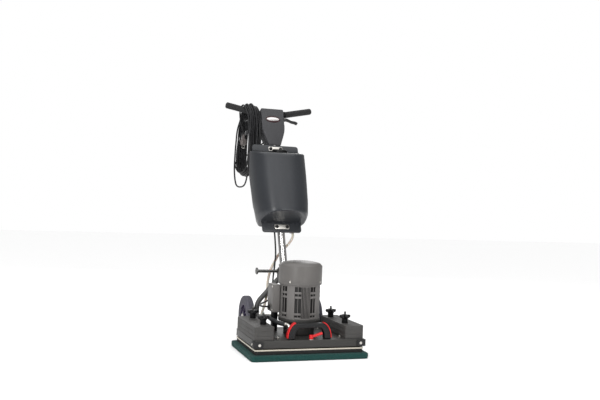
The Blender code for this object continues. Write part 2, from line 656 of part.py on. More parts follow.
# ---- Yoke, wheels and pivot -----------------------------------------------------------------------
def make_yoke():
    head_low, head_high = PIVOT_Z - 0.045, PIVOT_Z - LUG_ROUND - 0.003
    cheek_outer = LUG_HALF + 0.001 + CHEEK
    head = box("yoke_head", "grey_paint", (-cheek_outer, LEG_Y - 0.014, head_low),
               (cheek_outer, LEG_Y + 0.026, head_high))
    for side, sign in (("left", -1), ("right", 1)):
        cheek = [*arc((PIVOT_Y, PIVOT_Z), (0.019, 0.019), -10, 190, 10),
                 (LEG_Y - 0.012, head_low + 0.003), (LEG_Y + 0.024, head_low + 0.003)]
        join(head, plate(f"yoke_cheek_{side}", None, [cheek], CHEEK, "YZ",
                         location=(sign * (LUG_HALF + 0.001 + CHEEK / 2), 0, 0)))
    cut(head, rod("yoke_pin_hole", None, PIN_RADIUS + GAP, (-cheek_outer - 0.01, PIVOT_Y, PIVOT_Z),
                  2 * cheek_outer + 0.02, "X", sides=20))
    post = rod("pedal_post", None, 0.004, (-cheek_outer - 0.011, PEDAL_Y, PEDAL_Z), 0.014, "X", sides=14)
    ear = box("pedal_ear", None, (-cheek_outer + 0.0005, PEDAL_Y - 0.008, PEDAL_Z - 0.010),
              (-LUG_HALF - 0.0015, LEG_Y + 0.002, PEDAL_Z + 0.008))
    join(head, ear, post)
    rod("pivot_pin", "steel", PIN_RADIUS, (-cheek_outer - 0.002, PIVOT_Y, PIVOT_Z),
        2 * cheek_outer + 0.004, "X", sides=20)
    make_pedal(-cheek_outer - GAP)
    for side, sign in (("left", -1), ("right", 1)):
        make_leg(side, sign, cheek_outer, (head_low, head_high))


def make_pedal(side_x):
    """A foot peg on a short arm that hinges beside the yoke's head."""
    thickness = 0.007
    arm_outline = [*arc((PEDAL_Y, PEDAL_Z), (0.008, 0.008), 110, 290, 7),
                   *arc((PIVOT_Y, PIVOT_Z), (0.011, 0.011), -60, 110, 7)]
    hole = circle(0.004 + RUNNING, (PEDAL_Y, PEDAL_Z), 14)
    arm = plate("release_pedal", "steel", [arm_outline, hole], thickness, "YZ",
                location=(side_x - 0.0027 - thickness / 2, 0, 0))
    start = side_x - 0.0027 - thickness + 0.001
    join(arm, rod("release_peg", None, PEG_RADIUS, (PEG_END_X + 0.004, PIVOT_Y, PIVOT_Z),
                  start - PEG_END_X - 0.004, "X", sides=16),
         rod("release_disc", None, PEG_DISC_RADIUS, (PEG_END_X, PIVOT_Y, PIVOT_Z), 0.008, "X", sides=20))


def make_leg(side, sign, head_x, head_z):
    """One tube of the A-shaped yoke, welded to the plate that holds the axle."""
    knee = 0.030
    top = (sign * (LEG_TOP[0] - 0.012), LEG_Y, LEG_TOP[1] + 0.012 * (LEG_TOP[1] - LEG_BEND_Z) / (LEG_X - LEG_TOP[0]))
    slope = Vector((sign * (LEG_X - LEG_TOP[0]), 0, LEG_BEND_Z - LEG_TOP[1])).normalized()
    bend = Vector((sign * LEG_X, LEG_Y, LEG_BEND_Z))
    rounded = []
    for t in np.linspace(0, 1, 6):
        first, last = bend - slope * knee, bend - Vector((0, 0, knee))
        rounded.append(tuple((1 - t) ** 2 * first + 2 * t * (1 - t) * bend + t**2 * last))
    foot_top = AXLE_Z + 0.025
    leg = tube(f"yoke_{side}_leg", "grey_paint", [top, *rounded, (sign * LEG_X, LEG_Y, foot_top - 0.004)], LEG_RADIUS)
    cut(leg, box(f"leg_head_cutter_{side}", None, (-head_x - GAP, LEG_Y - 0.05, head_z[0] - GAP),
                 (head_x + GAP, LEG_Y + 0.05, head_z[1] + 0.05)))
    deck = CHASSIS_TOP + GAP
    outline = [
        (HALF_Y - 0.062, deck), (HALF_Y + 0.002, deck), (HALF_Y + 0.020, AXLE_Z - 0.025),
        *arc((AXLE_Y, AXLE_Z), (0.025, 0.025), -90, 90, 9),
        (LEG_Y - LEG_RADIUS - 0.004, foot_top), (HALF_Y - 0.010, deck + 0.018), (HALF_Y - 0.062, deck + 0.012),
    ]
    foot = plate(f"leg_foot_{side}", None, [outline], FOOT_PLATE, "YZ", location=(sign * LEG_X, 0, 0))
    join(leg, foot)
    cut(leg, rod(f"leg_axle_hole_{side}", None, AXLE_RADIUS + GAP, (sign * LEG_X - 0.02, AXLE_Y, AXLE_Z), 0.04, "X", sides=20))


def make_wheels():
    reach = WHEEL_X + WHEEL_WIDTH / 2 + 0.004
    rod("axle", "steel", AXLE_RADIUS, (-reach, AXLE_Y, AXLE_Z), 2 * reach, "X", sides=20)
    bore = AXLE_RADIUS + RUNNING
    half = WHEEL_WIDTH / 2
    web = half - 0.012
    rim = HUB_RADIUS - 0.010
    for side, sign in (("left", -1), ("right", 1)):
        spot = (sign * WHEEL_X, AXLE_Y, AXLE_Z)
        turned(f"hub_{side}", "hub_purple", [
            (bore, -half), (0.020, -half), (0.020, -web), (rim, -web), (rim, -half + 0.002), (HUB_RADIUS, -half + 0.002),
            (HUB_RADIUS, half - 0.002), (rim, half - 0.002), (rim, web), (0.020, web), (0.020, half), (bore, half),
        ], location=spot, rotation=TURNS["X"], steps=28)
        inner = HUB_RADIUS + GAP
        shoulder = WHEEL_RADIUS - 0.012
        crown = [(shoulder + 0.012 * math.cos(a), (half - 0.012) + 0.012 * math.sin(a)) for a in np.radians((90, 60, 30, 0))]
        turned(f"tyre_{side}", "tyre_grey", [
            (inner, half - 0.002), (inner + 0.006, half), *crown, *[(r, -z) for r, z in crown[::-1]],
            (inner + 0.006, -half), (inner, 0.002 - half),
        ], location=spot, rotation=TURNS["X"], steps=28)


# ---- Handle ---------------------------------------------------------------------------------------
def handle_frame():
    """The tilting handle's own frame: +Z runs up the pole and +Y points behind it."""
    frame = bpy.data.objects.new("handle_frame", None)
    frame.location = (0, PIVOT_Y, PIVOT_Z)
    frame.rotation_euler = (-LEAN, 0, 0)
    bpy.data.collections[PARTS].objects.link(frame)
    return frame


def make_pole(frame):
    pole_top = BAR_Z - BAR_RADIUS - 0.002
    pole = rod("pole", "chrome", POLE_RADIUS, (0, 0, 0.026), pole_top - 0.026, parent=frame)
    lug_outline = [*arc((0, 0), (LUG_ROUND, LUG_ROUND), 180, 360, 10), (LUG_ROUND, 0.034), (-LUG_ROUND, 0.034)]
    lug = plate("pole_lug", None, [lug_outline], 2 * LUG_HALF, "YZ", frame)
    join(pole, lug)
    cut(pole, rod("pole_pin_hole", None, PIN_RADIUS + RUNNING, (-0.05, 0, 0), 0.1, "X", frame, sides=20))


def tank_half_width(height):
    """Half width of the tank's belly at a local height above its foot."""
    share = (height - TANK_LOW) / (TANK_HIGH - TANK_LOW)
    return float(np.interp(share, (0, 0.06, 0.19, 0.26, 0.63, 0.96, 1), (0.109, 0.122, 0.129, 0.134, 0.143, 0.143, 0.139)))


def tank_surface(depth, share):
    """Local height on the belly, between its sloping foot (share 0) and its sloping top (share 1)."""
    forward = depth / TANK_BELLY
    low = TANK_LOW + TANK_FRONT_RISE * forward
    high = TANK_HIGH - TANK_FRONT_DROP * forward
    return low + (high - low) * share


def tank_mesh(name, inset):
    """The D-shaped belly, its walls moved inwards by inset."""
    work = bmesh.new()
    rings = []
    wide = 16
    tall = TANK_HIGH - TANK_LOW
    for share in (0, 0.06, 0.13, 0.19, 0.26, 0.45, 0.63, 0.85, 0.96, 1):
        half = tank_half_width(TANK_LOW + share * tall) - inset
        reach = TANK_BELLY - inset
        if share in (0, 1):
            reach -= 0.008
        level = inset / tall + share * (1 - 2 * inset / tall)
        ring = []
        for step in range(wide + 1):
            angle = math.pi * step / wide
            x = half * math.copysign(abs(math.cos(angle)) ** 0.72, math.cos(angle))
            depth = reach * abs(math.sin(angle)) ** 0.80
            ring.append(work.verts.new((x, TANK_BACK - TANK_FLANGE / 2 - depth, tank_surface(depth, level))))
        side = TANK_BACK - TANK_FLANGE / 2
        lobe = float(np.interp(share, (0, 0.75, 0.92), (TANK_LOBE, TANK_LOBE, TANK_BACK + 0.001))) - inset
        channel = TANK_CHANNEL + inset
        corner = min(0.008, 0.4 * (lobe - side))
        back = [(half, lobe - corner), (half - 0.008, lobe), (channel, lobe), (channel, TANK_BACK - inset)]
        for x, y in [*[(-x, y) for x, y in back], *back[::-1]]:
            ring.append(work.verts.new((x, y, tank_surface(TANK_BACK - TANK_FLANGE / 2 - y, level))))
        rings.append(ring)
    for lower, upper in zip(rings, rings[1:]):
        for i in range(len(lower)):
            j = (i + 1) % len(lower)
            work.faces.new((lower[j], lower[i], upper[i], upper[j]))
    work.faces.new(rings[0])
    work.faces.new(rings[-1][::-1])
    return mesh_of(name, work)


def make_tank(frame):
    tank = place("tank", tank_mesh("tank", 0), "tank_grey", frame)
    middle = TANK_BACK - TANK_FLANGE / 2
    for label, (half, height), low in (
        ("top", TANK_TOP_FLANGE, TANK_HIGH), ("bottom", TANK_LOW_FLANGE, TANK_LOW - TANK_LOW_FLANGE[1]),
    ):
        overlap = 0.012
        start, end = (low - overlap, low + height) if label == "top" else (low, low + height + overlap)
        join(tank, plate(f"tank_{label}_flange", None, [rounded_box((-half, start), (half, end), 0.014)],
                         TANK_FLANGE - 0.0002, "XZ", frame, (0, middle, 0)))
    join(tank, box("tank_outlet", None, (OUTLET_X - 0.012, TANK_BACK - 0.002, OUTLET_Z),
                   (OUTLET_X + 0.012, 0.012, OUTLET_Z + 0.030), frame))
    cut(tank, place("tank_hollow", tank_mesh("tank_hollow", TANK_WALL), None, frame))
    cut(tank, rod("pole_channel", None, POLE_RADIUS + GAP, (0, 0, 0), 1.0, parent=frame, sides=24))
    tilt, spot = filler_place()
    hole = rod("filler_hole", None, FILLER_RADIUS, spot, 0.05, parent=frame)
    hole.rotation_euler = (tilt, 0, 0)
    hole.location = Vector(spot) - up_from(tilt) * 0.025
    cut(tank, hole)
    cap_height, lip = 0.016, 0.009
    plug = FILLER_RADIUS - 0.0005
    turned("tank_cap", "black_plastic", [
        (0, -0.010), (plug, -0.010), (plug, GAP), (FILLER_RADIUS + lip, GAP), (FILLER_RADIUS + lip, cap_height - 0.004),
        (FILLER_RADIUS + lip - 0.004, cap_height), (0, cap_height),
    ], frame, spot, (tilt, 0, 0), steps=28)


def up_from(tilt):
    return Vector((0, -math.sin(tilt), math.cos(tilt)))


def filler_place():
    """The tilt of the tank's sloping top and the point on it where the filler's axis comes out."""
    tilt = math.atan2(TANK_FRONT_DROP, TANK_BELLY)
    return tilt, (0, TANK_BACK - TANK_FLANGE / 2 - FILLER_REACH, tank_surface(FILLER_REACH, 1))


def make_tank_clamps(frame):
    width, thickness, height = CLAMP_PLATE
    front = TANK_BACK - TANK_FLANGE - GAP
    for label, z in (("top", TANK_HIGH + 0.014), ("bottom", TANK_LOW - 0.020)):
        clamp = plate(f"tank_clamp_{label}", "steel",
                      [rounded_box((-width / 2, z - height / 2), (width / 2, z + height / 2), 0.004)],
                      thickness, "XZ", frame, (0, front - thickness / 2, 0))
        for side in (-1, 1):
            join(clamp, rod(f"clamp_bolt_{label}_{side}", None, 0.007,
                            (side * 0.027, front - thickness - 0.007, z), 0.008, "Y", frame, 6))


def box_outline(inset):
    """The shield-shaped front of the switch box, in x and local z."""
    right = [(0.063, BOX_TOP - 0.006), (0.063, 0.8015), (0.060, 0.776), (0.054, 0.7545), (0.043, 0.722), (0.033, BOX_BOTTOM + 0.003)]
    scale = (BOX_HALF - inset) / BOX_HALF
    top, bottom = BOX_TOP - inset, BOX_BOTTOM + inset
    half = [(0.057 * scale, top), *[(x * scale, min(max(z, bottom + 0.003), top - 0.004)) for x, z in right], (0.030 * scale, bottom)]
    return [*half, *[(-x, z) for x, z in half[::-1]]]


def make_switch_box(frame):
    middle = (BOX_FRONT + BOX_BACK) / 2
    housing = plate("switch_box", "box_grey", [box_outline(0)], BOX_BACK - BOX_FRONT, "XZ", frame, (0, middle, 0))
    hollow_front = BOX_FRONT + BOX_WALL
    hollow_depth = BOX_BACK - hollow_front + 0.01
    hollow = plate("switch_box_hollow", None, [box_outline(BOX_WALL)], hollow_depth, "XZ", frame,
                   (0, hollow_front + hollow_depth / 2, 0))
    bar_hole = rod("bar_hole", None, BAR_RADIUS + GAP, (-0.08, BAR_Y, BAR_Z), 0.16, "X", frame, 20)
    pole_hole = rod("box_pole_hole", None, POLE_RADIUS + GAP, (0, 0, BOX_BOTTOM - 0.01), 0.03, parent=frame)
    button_hole = rod("button_hole", None, BUTTON_RADIUS + RUNNING, (BOX_HALF - 0.01, BAR_Y, BUTTON_Z), 0.02, "X", frame, 16)
    cut(housing, hollow)
    for side, sign in (("left", -1), ("right", 1)):
        for name, y in (("front", BAR_Y - 0.0095), ("back", BAR_Y + 0.0095)):
            ends = sorted((sign * (BOX_HALF - 0.002), sign * (TRIGGER_X + 0.006)))
            join(housing, box(f"trigger_ear_{side}_{name}", None, (ends[0], y - 0.0015, TRIGGER_Z - 0.007),
                              (ends[1], y + 0.0015, TRIGGER_Z + 0.007), frame))
        join(housing, rod(f"trigger_pin_{side}", None, 0.0025, (sign * TRIGGER_X, BAR_Y - 0.010, TRIGGER_Z),
                          0.020, "Y", frame, 12))
    cut(housing, bar_hole, pole_hole, button_hole)
    plate("switch_box_cover", "box_grey", [box_outline(0)], COVER_THICKNESS, "XZ", frame,
          (0, BOX_BACK + GAP + COVER_THICKNESS / 2, 0))
    rod("lock_button", "black_plastic", BUTTON_RADIUS, (BOX_HALF - 0.014, BAR_Y, BUTTON_Z), 0.025, "X", frame, 16)


def make_triggers(frame):
    """Finger levers under the bar, one on each side of the switch box."""
    for side, sign in (("left", -1), ("right", 1)):
        reach, drop = TRIGGER_REACH, TRIGGER_DROP
        upper = [(0, 0.006), (reach * 0.25, 0.003), (reach * 0.55, -drop * 0.45), (reach * 0.8, -drop * 0.65), (reach, -drop + 0.002)]
        lower = [(reach + 0.004, -drop - 0.004), (reach, -drop - 0.009), (reach * 0.82, -drop - 0.005),
                 (reach * 0.6, -drop * 0.5 - 0.009), (reach * 0.3, -0.010)]
        outline = [*upper, *lower, *arc((0, 0), (0.006, 0.006), 270, 100, 7)]
        plate(f"trigger_{side}", "black_plastic", [[(sign * x, z) for x, z in outline], circle(0.0028, sides=12)],
              0.0154, "XZ", frame, (sign * TRIGGER_X, BAR_Y, TRIGGER_Z))


def bar_route():
    end_x, end_y, end_z = BAR_END
    start = (BAR_STRAIGHT, BAR_Y, BAR_Z)
    half = [(0.0, BAR_Y, BAR_Z), start, BAR_END]
    return [*[(-x, y, z) for x, y, z in half[:0:-1]], *half]


def make_bar(frame):
    tube("handle_bar", "black_plastic", bar_route(), BAR_RADIUS, frame)
    run = Vector(BAR_END) - Vector((BAR_STRAIGHT, BAR_Y, BAR_Z))
    along = run.normalized()
    skip = (GRIP_START - BAR_STRAIGHT) / along.x
    length = run.length - skip
    bore = BAR_RADIUS + GAP
    for side, sign in (("left", -1), ("right", 1)):
        direction = Vector((sign * along.x, along.y, along.z))
        start = Vector((sign * BAR_STRAIGHT, BAR_Y, BAR_Z)) + direction * skip
        grip = turned(f"grip_{side}", "black_rubber", [
            (bore, 0), (GRIP_RADIUS, 0), (GRIP_RADIUS, length), (GRIP_RADIUS * 0.85, length + 0.007),
            (GRIP_RADIUS * 0.5, length + 0.010), (0, length + 0.011), (0, length + GAP), (bore, length + GAP),
        ], frame, start, steps=24)
        grip.rotation_euler = direction.to_track_quat("Z", "Y").to_euler()


# ---- Cords and hoses --------------------------------------------------------------------------------
def make_cords(frame):
    tube("motor_cable", "black_rubber", smooth_route(MOTOR_CABLE_ROUTE, 0.026), CORD_RADIUS, resolution=2)
    tube("solution_hose", "clear_hose", smooth_route(SOLUTION_ROUTE, 0.020), HOSE_RADIUS, resolution=2)
    tube("cord_lead", "black_rubber", smooth_route(CORD_LEAD_ROUTE, 0.014), CORD_RADIUS, resolution=2)
    back = BOX_BACK + GAP + COVER_THICKNESS + GAP
    turned("cord_gland", "black_plastic", [(0, 0), (0.009, 0), (0.009, 0.006), (0.007, 0.016), (0, 0.016)],
           frame, (GLAND_AT[0], back, GLAND_AT[1]), TURNS["Y"], steps=16)
    make_hank()


def make_hank():
    """The power cord's loops hung over the left grip, as one closed ring, and the plug inside it."""
    outer = rounded_box((HANK_FRONT - HANK_BUNDLE, HANK_BOTTOM), (HANK_BACK + HANK_BUNDLE, HANK_TOP), 0.060, 6)
    inner = rounded_box((HANK_FRONT, HANK_BOTTOM + HANK_BUNDLE), (HANK_BACK, HANK_INNER_TOP), 0.020, 4)
    hank = plate("cord_hank", "black_rubber", [outer, inner], HANK_THICKNESS, "XZ")
    turn = math.radians(90 + HANK_TURN_DEGREES)
    hank.location = (*HANK_CENTRE, 0)
    hank.rotation_euler = (math.pi / 2, 0, turn)
    plug = plate("plug", "plug_grey", [rounded_box((HANK_BACK - 0.028, 0.985), (HANK_BACK - GAP, 1.040), 0.006)], PLUG_THICKNESS, "XZ")
    plug.location = (*HANK_CENTRE, 0)
    plug.rotation_euler = (math.pi / 2, 0, turn)


def main():
    clear_scene()
    for name, (colour, metallic, roughness) in LOOKS.items():
        material(name, colour, metallic, roughness)
    make_pad_stack()
    make_chassis()
    make_bumpers()
    make_weights()
    make_knobs()
    make_drive()
    make_motor()
    make_lift_handle()
    make_clamp_lever()
    make_feed()
    make_yoke()
    make_wheels()
    frame = handle_frame()
    make_pole(frame)
    make_tank(frame)
    make_tank_clamps(frame)
    make_switch_box(frame)
    make_triggers(frame)
    make_bar(frame)
    make_cords(frame)


main()
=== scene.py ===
import json
import math

import bmesh
import bpy
import numpy as np
from mathutils import Matrix, Vector


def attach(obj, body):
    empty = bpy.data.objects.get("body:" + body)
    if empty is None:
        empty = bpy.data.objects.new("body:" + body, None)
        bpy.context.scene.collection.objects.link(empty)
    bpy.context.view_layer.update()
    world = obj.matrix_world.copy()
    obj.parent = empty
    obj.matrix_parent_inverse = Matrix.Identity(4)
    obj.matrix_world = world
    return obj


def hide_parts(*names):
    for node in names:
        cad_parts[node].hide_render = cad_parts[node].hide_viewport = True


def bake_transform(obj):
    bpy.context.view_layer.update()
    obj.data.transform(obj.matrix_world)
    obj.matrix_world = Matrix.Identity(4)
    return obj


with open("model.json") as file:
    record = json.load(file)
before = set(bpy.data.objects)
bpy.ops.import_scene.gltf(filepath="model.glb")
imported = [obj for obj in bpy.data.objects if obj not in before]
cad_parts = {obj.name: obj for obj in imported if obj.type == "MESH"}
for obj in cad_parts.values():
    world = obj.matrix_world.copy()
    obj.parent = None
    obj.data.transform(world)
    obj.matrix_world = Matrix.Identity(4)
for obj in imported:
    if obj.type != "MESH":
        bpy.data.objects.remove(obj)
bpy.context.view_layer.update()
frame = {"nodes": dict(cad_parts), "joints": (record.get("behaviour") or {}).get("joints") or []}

# ---- Places shared with the frame ----
LEAN = math.radians(22.36)
TILT_JOINT = next(j for j in frame["joints"] if j["name"] == "handle_tilt")
PIVOT = Vector(TILT_JOINT["pos_m"])
# The handle's own frame: +Z runs up the pole and +Y points behind it.
HANDLE = Matrix.Translation(PIVOT) @ Matrix.Rotation(-LEAN, 4, "X")
UPRIGHT = Matrix.Identity(4)
ALONG_X = Matrix.Rotation(math.pi / 2, 4, "Y")
ALONG_Y = Matrix.Rotation(-math.pi / 2, 4, "X")
SIDES = (("left", -1), ("right", 1))
ON_AXIS, NO_ROUNDING = 1e-6, 1e-5  # a smaller radius is a pole, and a smaller corner stays sharp


# ---- Camera, floor and light ----
CAMERA_PLACE = (-1.0668, -3.198, 0.6566)
CAMERA_YAW, CAMERA_PITCH, CAMERA_ROLL = math.radians(18.213), 0.014, 0.0343
LENS_MM, SENSOR_MM = 43.48, 36.0
LIGHT_TARGET = (0, 0.25, 0.6)
AMBIENT = 0.3  # how strongly the white surroundings light the object


def make_camera():
    yaw, pitch, roll = CAMERA_YAW, CAMERA_PITCH, CAMERA_ROLL
    forward = Vector((math.sin(yaw) * math.cos(pitch), math.cos(yaw) * math.cos(pitch), math.sin(pitch)))
    level = Vector((math.cos(yaw), -math.sin(yaw), 0))
    upward = level.cross(forward)
    right = math.cos(roll) * level + math.sin(roll) * upward
    up = -math.sin(roll) * level + math.cos(roll) * upward
    data = bpy.data.cameras.new("studio_camera")
    data.lens, data.sensor_width = LENS_MM, SENSOR_MM
    camera = link("studio_camera", data)
    turn = Matrix((right, up, -forward)).transposed().to_4x4()
    camera.matrix_world = Matrix.Translation(CAMERA_PLACE) @ turn
    bpy.context.scene.camera = camera


def new_lamp(name, kind, place, power):
    data = bpy.data.lights.new(name, kind)
    data.energy = power
    lamp = link(name, data)
    lamp.location = place
    return lamp


def soft_light(name, place, size, power):
    lamp = new_lamp(name, "AREA", place, power)
    lamp.data.shape = "RECTANGLE"
    lamp.data.size, lamp.data.size_y = size
    lamp.rotation_euler = (Vector(LIGHT_TARGET) - Vector(place)).to_track_quat("-Z", "Y").to_euler()


def make_studio():
    work = bmesh.new()
    bmesh.ops.create_grid(work, x_segments=1, y_segments=1, size=14)
    floor = link("floor", mesh_from(work, "floor", recalculate=False))
    floor.location.z = -0.0005
    floor.data.materials.append(FINISH["studio_floor"])
    world = bpy.data.worlds.new("studio")
    bpy.context.scene.world = world
    world.use_nodes = True
    nodes, links = world.node_tree.nodes, world.node_tree.links
    lighting, seen = nodes["Background"], nodes.new("ShaderNodeBackground")
    for background, strength in ((lighting, AMBIENT), (seen, 1.0)):
        background.inputs["Color"].default_value = (1.0, 1.0, 1.0, 1.0)
        background.inputs["Strength"].default_value = strength
    path, pick = nodes.new("ShaderNodeLightPath"), nodes.new("ShaderNodeMixShader")
    links.new(path.outputs["Is Camera Ray"], pick.inputs[0])
    links.new(lighting.outputs[0], pick.inputs[1])
    links.new(seen.outputs[0], pick.inputs[2])
    links.new(pick.outputs[0], nodes["World Output"].inputs["Surface"])
    bpy.context.scene.view_settings.view_transform = "Standard"
    soft_light("left_strip", (-2.4, -2.4, 1.5), (0.35, 2.4), 60)
    soft_light("right_strip", (0.55, -3.0, 1.6), (0.25, 2.2), 32)
    overhead = new_lamp("overhead", "SUN", (0, 0, 4), 2.5)
    overhead.data.angle = 1.5
    overhead.rotation_euler = (0.12, -0.1, 0)
    soft_light("rear_fill", (0.6, 3.2, 1.9), (2.0, 2.0), 30)


# ---- Material nodes written as expressions ----
class Number:
    """A number that varies over a surface. Sums and products of Numbers add Math nodes."""

    def __init__(self, graph, socket):
        self.graph = graph
        self.socket = socket

    def _math(self, operation, first, second):
        made = self.graph.node("ShaderNodeMath", {"operation": operation}, {0: first, 1: second})
        return Number(self.graph, made.outputs[0])

    def __add__(self, other):
        return self._math("ADD", self, other)

    def __sub__(self, other):
        return self._math("SUBTRACT", self, other)

    def __rsub__(self, other):
        return self._math("SUBTRACT", other, self)

    def __mul__(self, other):
        return self._math("MULTIPLY", self, other)

    def clipped(self, low, high):
        """This value mapped from low..high to 0..1 and held there."""
        made = self.graph.node(
            "ShaderNodeMapRange", {"clamp": True}, {"Value": self, "From Min": low, "From Max": high}
        )
        return Number(self.graph, made.outputs["Result"])

    __radd__ = __add__
    __rmul__ = __mul__


class Graph:
    """The node tree of one material."""

    def __init__(self, name):
        self.material = bpy.data.materials.new(name)
        self.material.use_nodes = True
        self.tree = self.material.node_tree
        self.shader = self.tree.nodes["Principled BSDF"]
        self.place = self.node("ShaderNodeTexCoord").outputs["Object"]

    def node(self, kind, settings=None, inputs=None):
        made = self.tree.nodes.new(kind)
        for key, value in (settings or {}).items():
            setattr(made, key, value)
        for key, value in (inputs or {}).items():
            self.feed(made.inputs[key], value)
        return made

    def feed(self, socket, value):
        if isinstance(value, Number):
            self.tree.links.new(value.socket, socket)
        elif isinstance(value, bpy.types.NodeSocket):
            self.tree.links.new(value, socket)
        elif isinstance(value, tuple) and len(value) == 3 and socket.type == "RGBA":
            socket.default_value = (*value, 1.0)
        else:
            socket.default_value = value

    def noise(self, scale, detail=3.0, roughness=0.55, where=None):
        made = self.node("ShaderNodeTexNoise", None, {
            "Vector": where or self.place, "Scale": scale, "Detail": detail, "Roughness": roughness})
        return Number(self, made.outputs["Fac"])

    def cells(self, scale, feature="F1", where=None):
        made = self.node("ShaderNodeTexVoronoi", {"feature": feature}, {
            "Vector": where or self.place, "Scale": scale})
        return Number(self, made.outputs["Distance"])

    def stretched(self, x, y, z, where=None):
        made = self.node("ShaderNodeMapping", None, {"Vector": where or self.place, "Scale": (x, y, z)})
        return made.outputs["Vector"]

    def mix(self, mask, first, second):
        made = self.node("ShaderNodeMix", {"data_type": "RGBA"}, {0: mask, 6: first, 7: second})
        return made.outputs[2]

    def bump(self, height, distance, strength=1.0):
        made = self.node("ShaderNodeBump", None, {
            "Height": height, "Distance": distance, "Strength": strength})
        self.feed(self.shader.inputs["Normal"], made.outputs["Normal"])

    def surface(self, colour, roughness, metallic=0.0, **constants):
        for key, value in (("Base Color", colour), ("Roughness", roughness), ("Metallic", metallic)):
            self.feed(self.shader.inputs[key], value)
        self.shader.inputs["Specular IOR Level"].default_value = 0.5 if metallic else 0.28
        for key, value in constants.items():
            self.shader.inputs[key.replace("_", " ").title()].default_value = value
        return self.material


def darker(colour, share):
    return tuple(channel * share for channel in colour)


def painted(name, colour, roughness, peel=0.00006):
    """Sprayed enamel: a faint orange peel, dust in broad patches, and small scuffs."""
    g = Graph(name)
    dust = g.noise(9.0, 4.0).clipped(0.35, 0.75)
    scuff = g.cells(60.0, "DISTANCE_TO_EDGE").clipped(0.0, 0.05)
    worn = (1 - scuff) * g.noise(24.0).clipped(0.62, 0.72)
    tint = g.mix(dust * 0.5, darker(colour, 0.92), darker(colour, 1.1))
    tint = g.mix(worn * 0.35, tint, darker(colour, 1.7))
    g.bump(g.noise(420.0, 2.0) * 0.7 + worn * 0.3, peel)
    return g.surface(tint, dust * 0.1 + (roughness - 0.04))


def casting(name, colour, roughness, grain=260.0, depth=0.00025, recess=None):
    """Sand-cast metal under paint: a coarse grain with a few pits, and painted shade between any cooling fins."""
    g = Graph(name)
    coarse = g.noise(grain, 4.0)
    pits = g.cells(grain * 0.45).clipped(0.0, 0.22)
    patches = g.noise(14.0, 3.0).clipped(0.3, 0.75)
    tint = g.mix(patches, darker(colour, 0.88), darker(colour, 1.12))
    tint = g.mix((1 - pits) * 0.35, tint, darker(colour, 0.6))
    # Painted shade: nearer the local Z axis than the given radii, at the fin roots and in the recesses, the colour
    # fades to near black.
    if recess:
        flat = g.node("ShaderNodeVectorMath", {"operation": "LENGTH"}, {0: g.stretched(1.0, 1.0, 0.0)})
        tint = g.mix(Number(g, flat.outputs["Value"]).clipped(*recess), darker(colour, 0.1), tint)
    g.bump(coarse * 0.8 + pits * 0.4, depth)
    return g.surface(tint, patches * 0.1 + roughness)


def moulded(name, colour, roughness, grain=700.0, depth=0.00005, sheen=0.0):
    """Moulded plastic: fine spark grain, slight flow marks and a little dust."""
    g = Graph(name)
    flow = g.noise(6.0, 3.0).clipped(0.3, 0.7)
    fine = g.noise(grain, 2.0)
    tint = g.mix(flow, darker(colour, 0.93), darker(colour, 1.07))
    g.bump(fine, depth)
    g.shader.inputs["Sheen Weight"].default_value = sheen
    return g.surface(tint, fine * 0.08 + flow * 0.06 + (roughness - 0.07))


def plated(name, colour, roughness, scratch=(900.0, 40.0, 40.0), depth=0.00002):
    """Plated or ground metal with fine scratches along one direction and faint smears."""
    g = Graph(name)
    lines = g.noise(1.0, 3.0, where=g.stretched(*scratch))
    smear = g.noise(18.0, 4.0).clipped(0.35, 0.75)
    tint = g.mix(smear, darker(colour, 0.9), colour)
    g.bump(lines, depth)
    return g.surface(tint, smear * 0.12 + lines * 0.08 + (roughness - 0.08), 1.0)


def rubbery(name, colour, roughness, grain=520.0, depth=0.00009):
    """Soft rubber: a dry bloom over a fine matt grain."""
    g = Graph(name)
    bloom = g.noise(16.0, 5.0, 0.65).clipped(0.4, 0.72)
    fine = g.noise(grain, 3.0)
    tint = g.mix(bloom, colour, darker(colour, 1.6))
    g.bump(fine, depth)
    return g.surface(tint, bloom * 0.1 + fine * 0.06 + (roughness - 0.06))


def pad_fibre():
    """Non-woven scrubbing fibre: tangled strands with open pores between them."""
    g = Graph("pad_fibre")
    warp = g.noise(90.0, 5.0, 0.7)
    strands = g.cells(330.0, "DISTANCE_TO_EDGE").clipped(0.0, 0.16)
    pores = g.cells(150.0).clipped(0.15, 0.75)
    shade = g.noise(5.0, 3.0).clipped(0.3, 0.7)
    deep, bright = (0.001, 0.03, 0.026), (0.002, 0.074, 0.064)
    tint = g.mix(strands * 0.6 + pores * 0.3, bright, deep)
    tint = g.mix(shade * 0.35, tint, (0.003, 0.05, 0.043))
    g.bump(warp * 0.9 + (1 - strands) * 0.8 - pores * 0.5, 0.0016)
    return g.surface(tint, 0.95, sheen_weight=0.06, sheen_roughness=0.6)


def grip_fibre():
    """The dark hook layer that the scrubbing pad clings to."""
    g = Graph("hook_layer")
    hooks = g.cells(520.0).clipped(0.1, 0.6)
    tint = g.mix(hooks, (0.006, 0.006, 0.006), (0.022, 0.022, 0.022))
    g.bump(hooks, 0.0006)
    return g.surface(tint, 0.9)


def tank_plastic():
    """Rotomoulded polyethylene: speckled grain, a waxy gloss and faint ripples from the mould."""
    g = Graph("tank_plastic")
    base = (0.022, 0.024, 0.028)
    speck = g.cells(900.0).clipped(0.05, 0.5)
    ripple = g.noise(11.0, 2.0)
    cloud = g.noise(4.0, 3.0).clipped(0.3, 0.7)
    tint = g.mix(cloud, darker(base, 0.94), darker(base, 1.08))
    tint = g.mix((1 - speck) * 0.1, tint, darker(base, 1.8))
    g.bump(speck * 0.1 + ripple * 0.9, 0.0003)
    return g.surface(tint, speck * 0.04 + cloud * 0.05 + 0.3, coat_weight=0.3, coat_roughness=0.28)


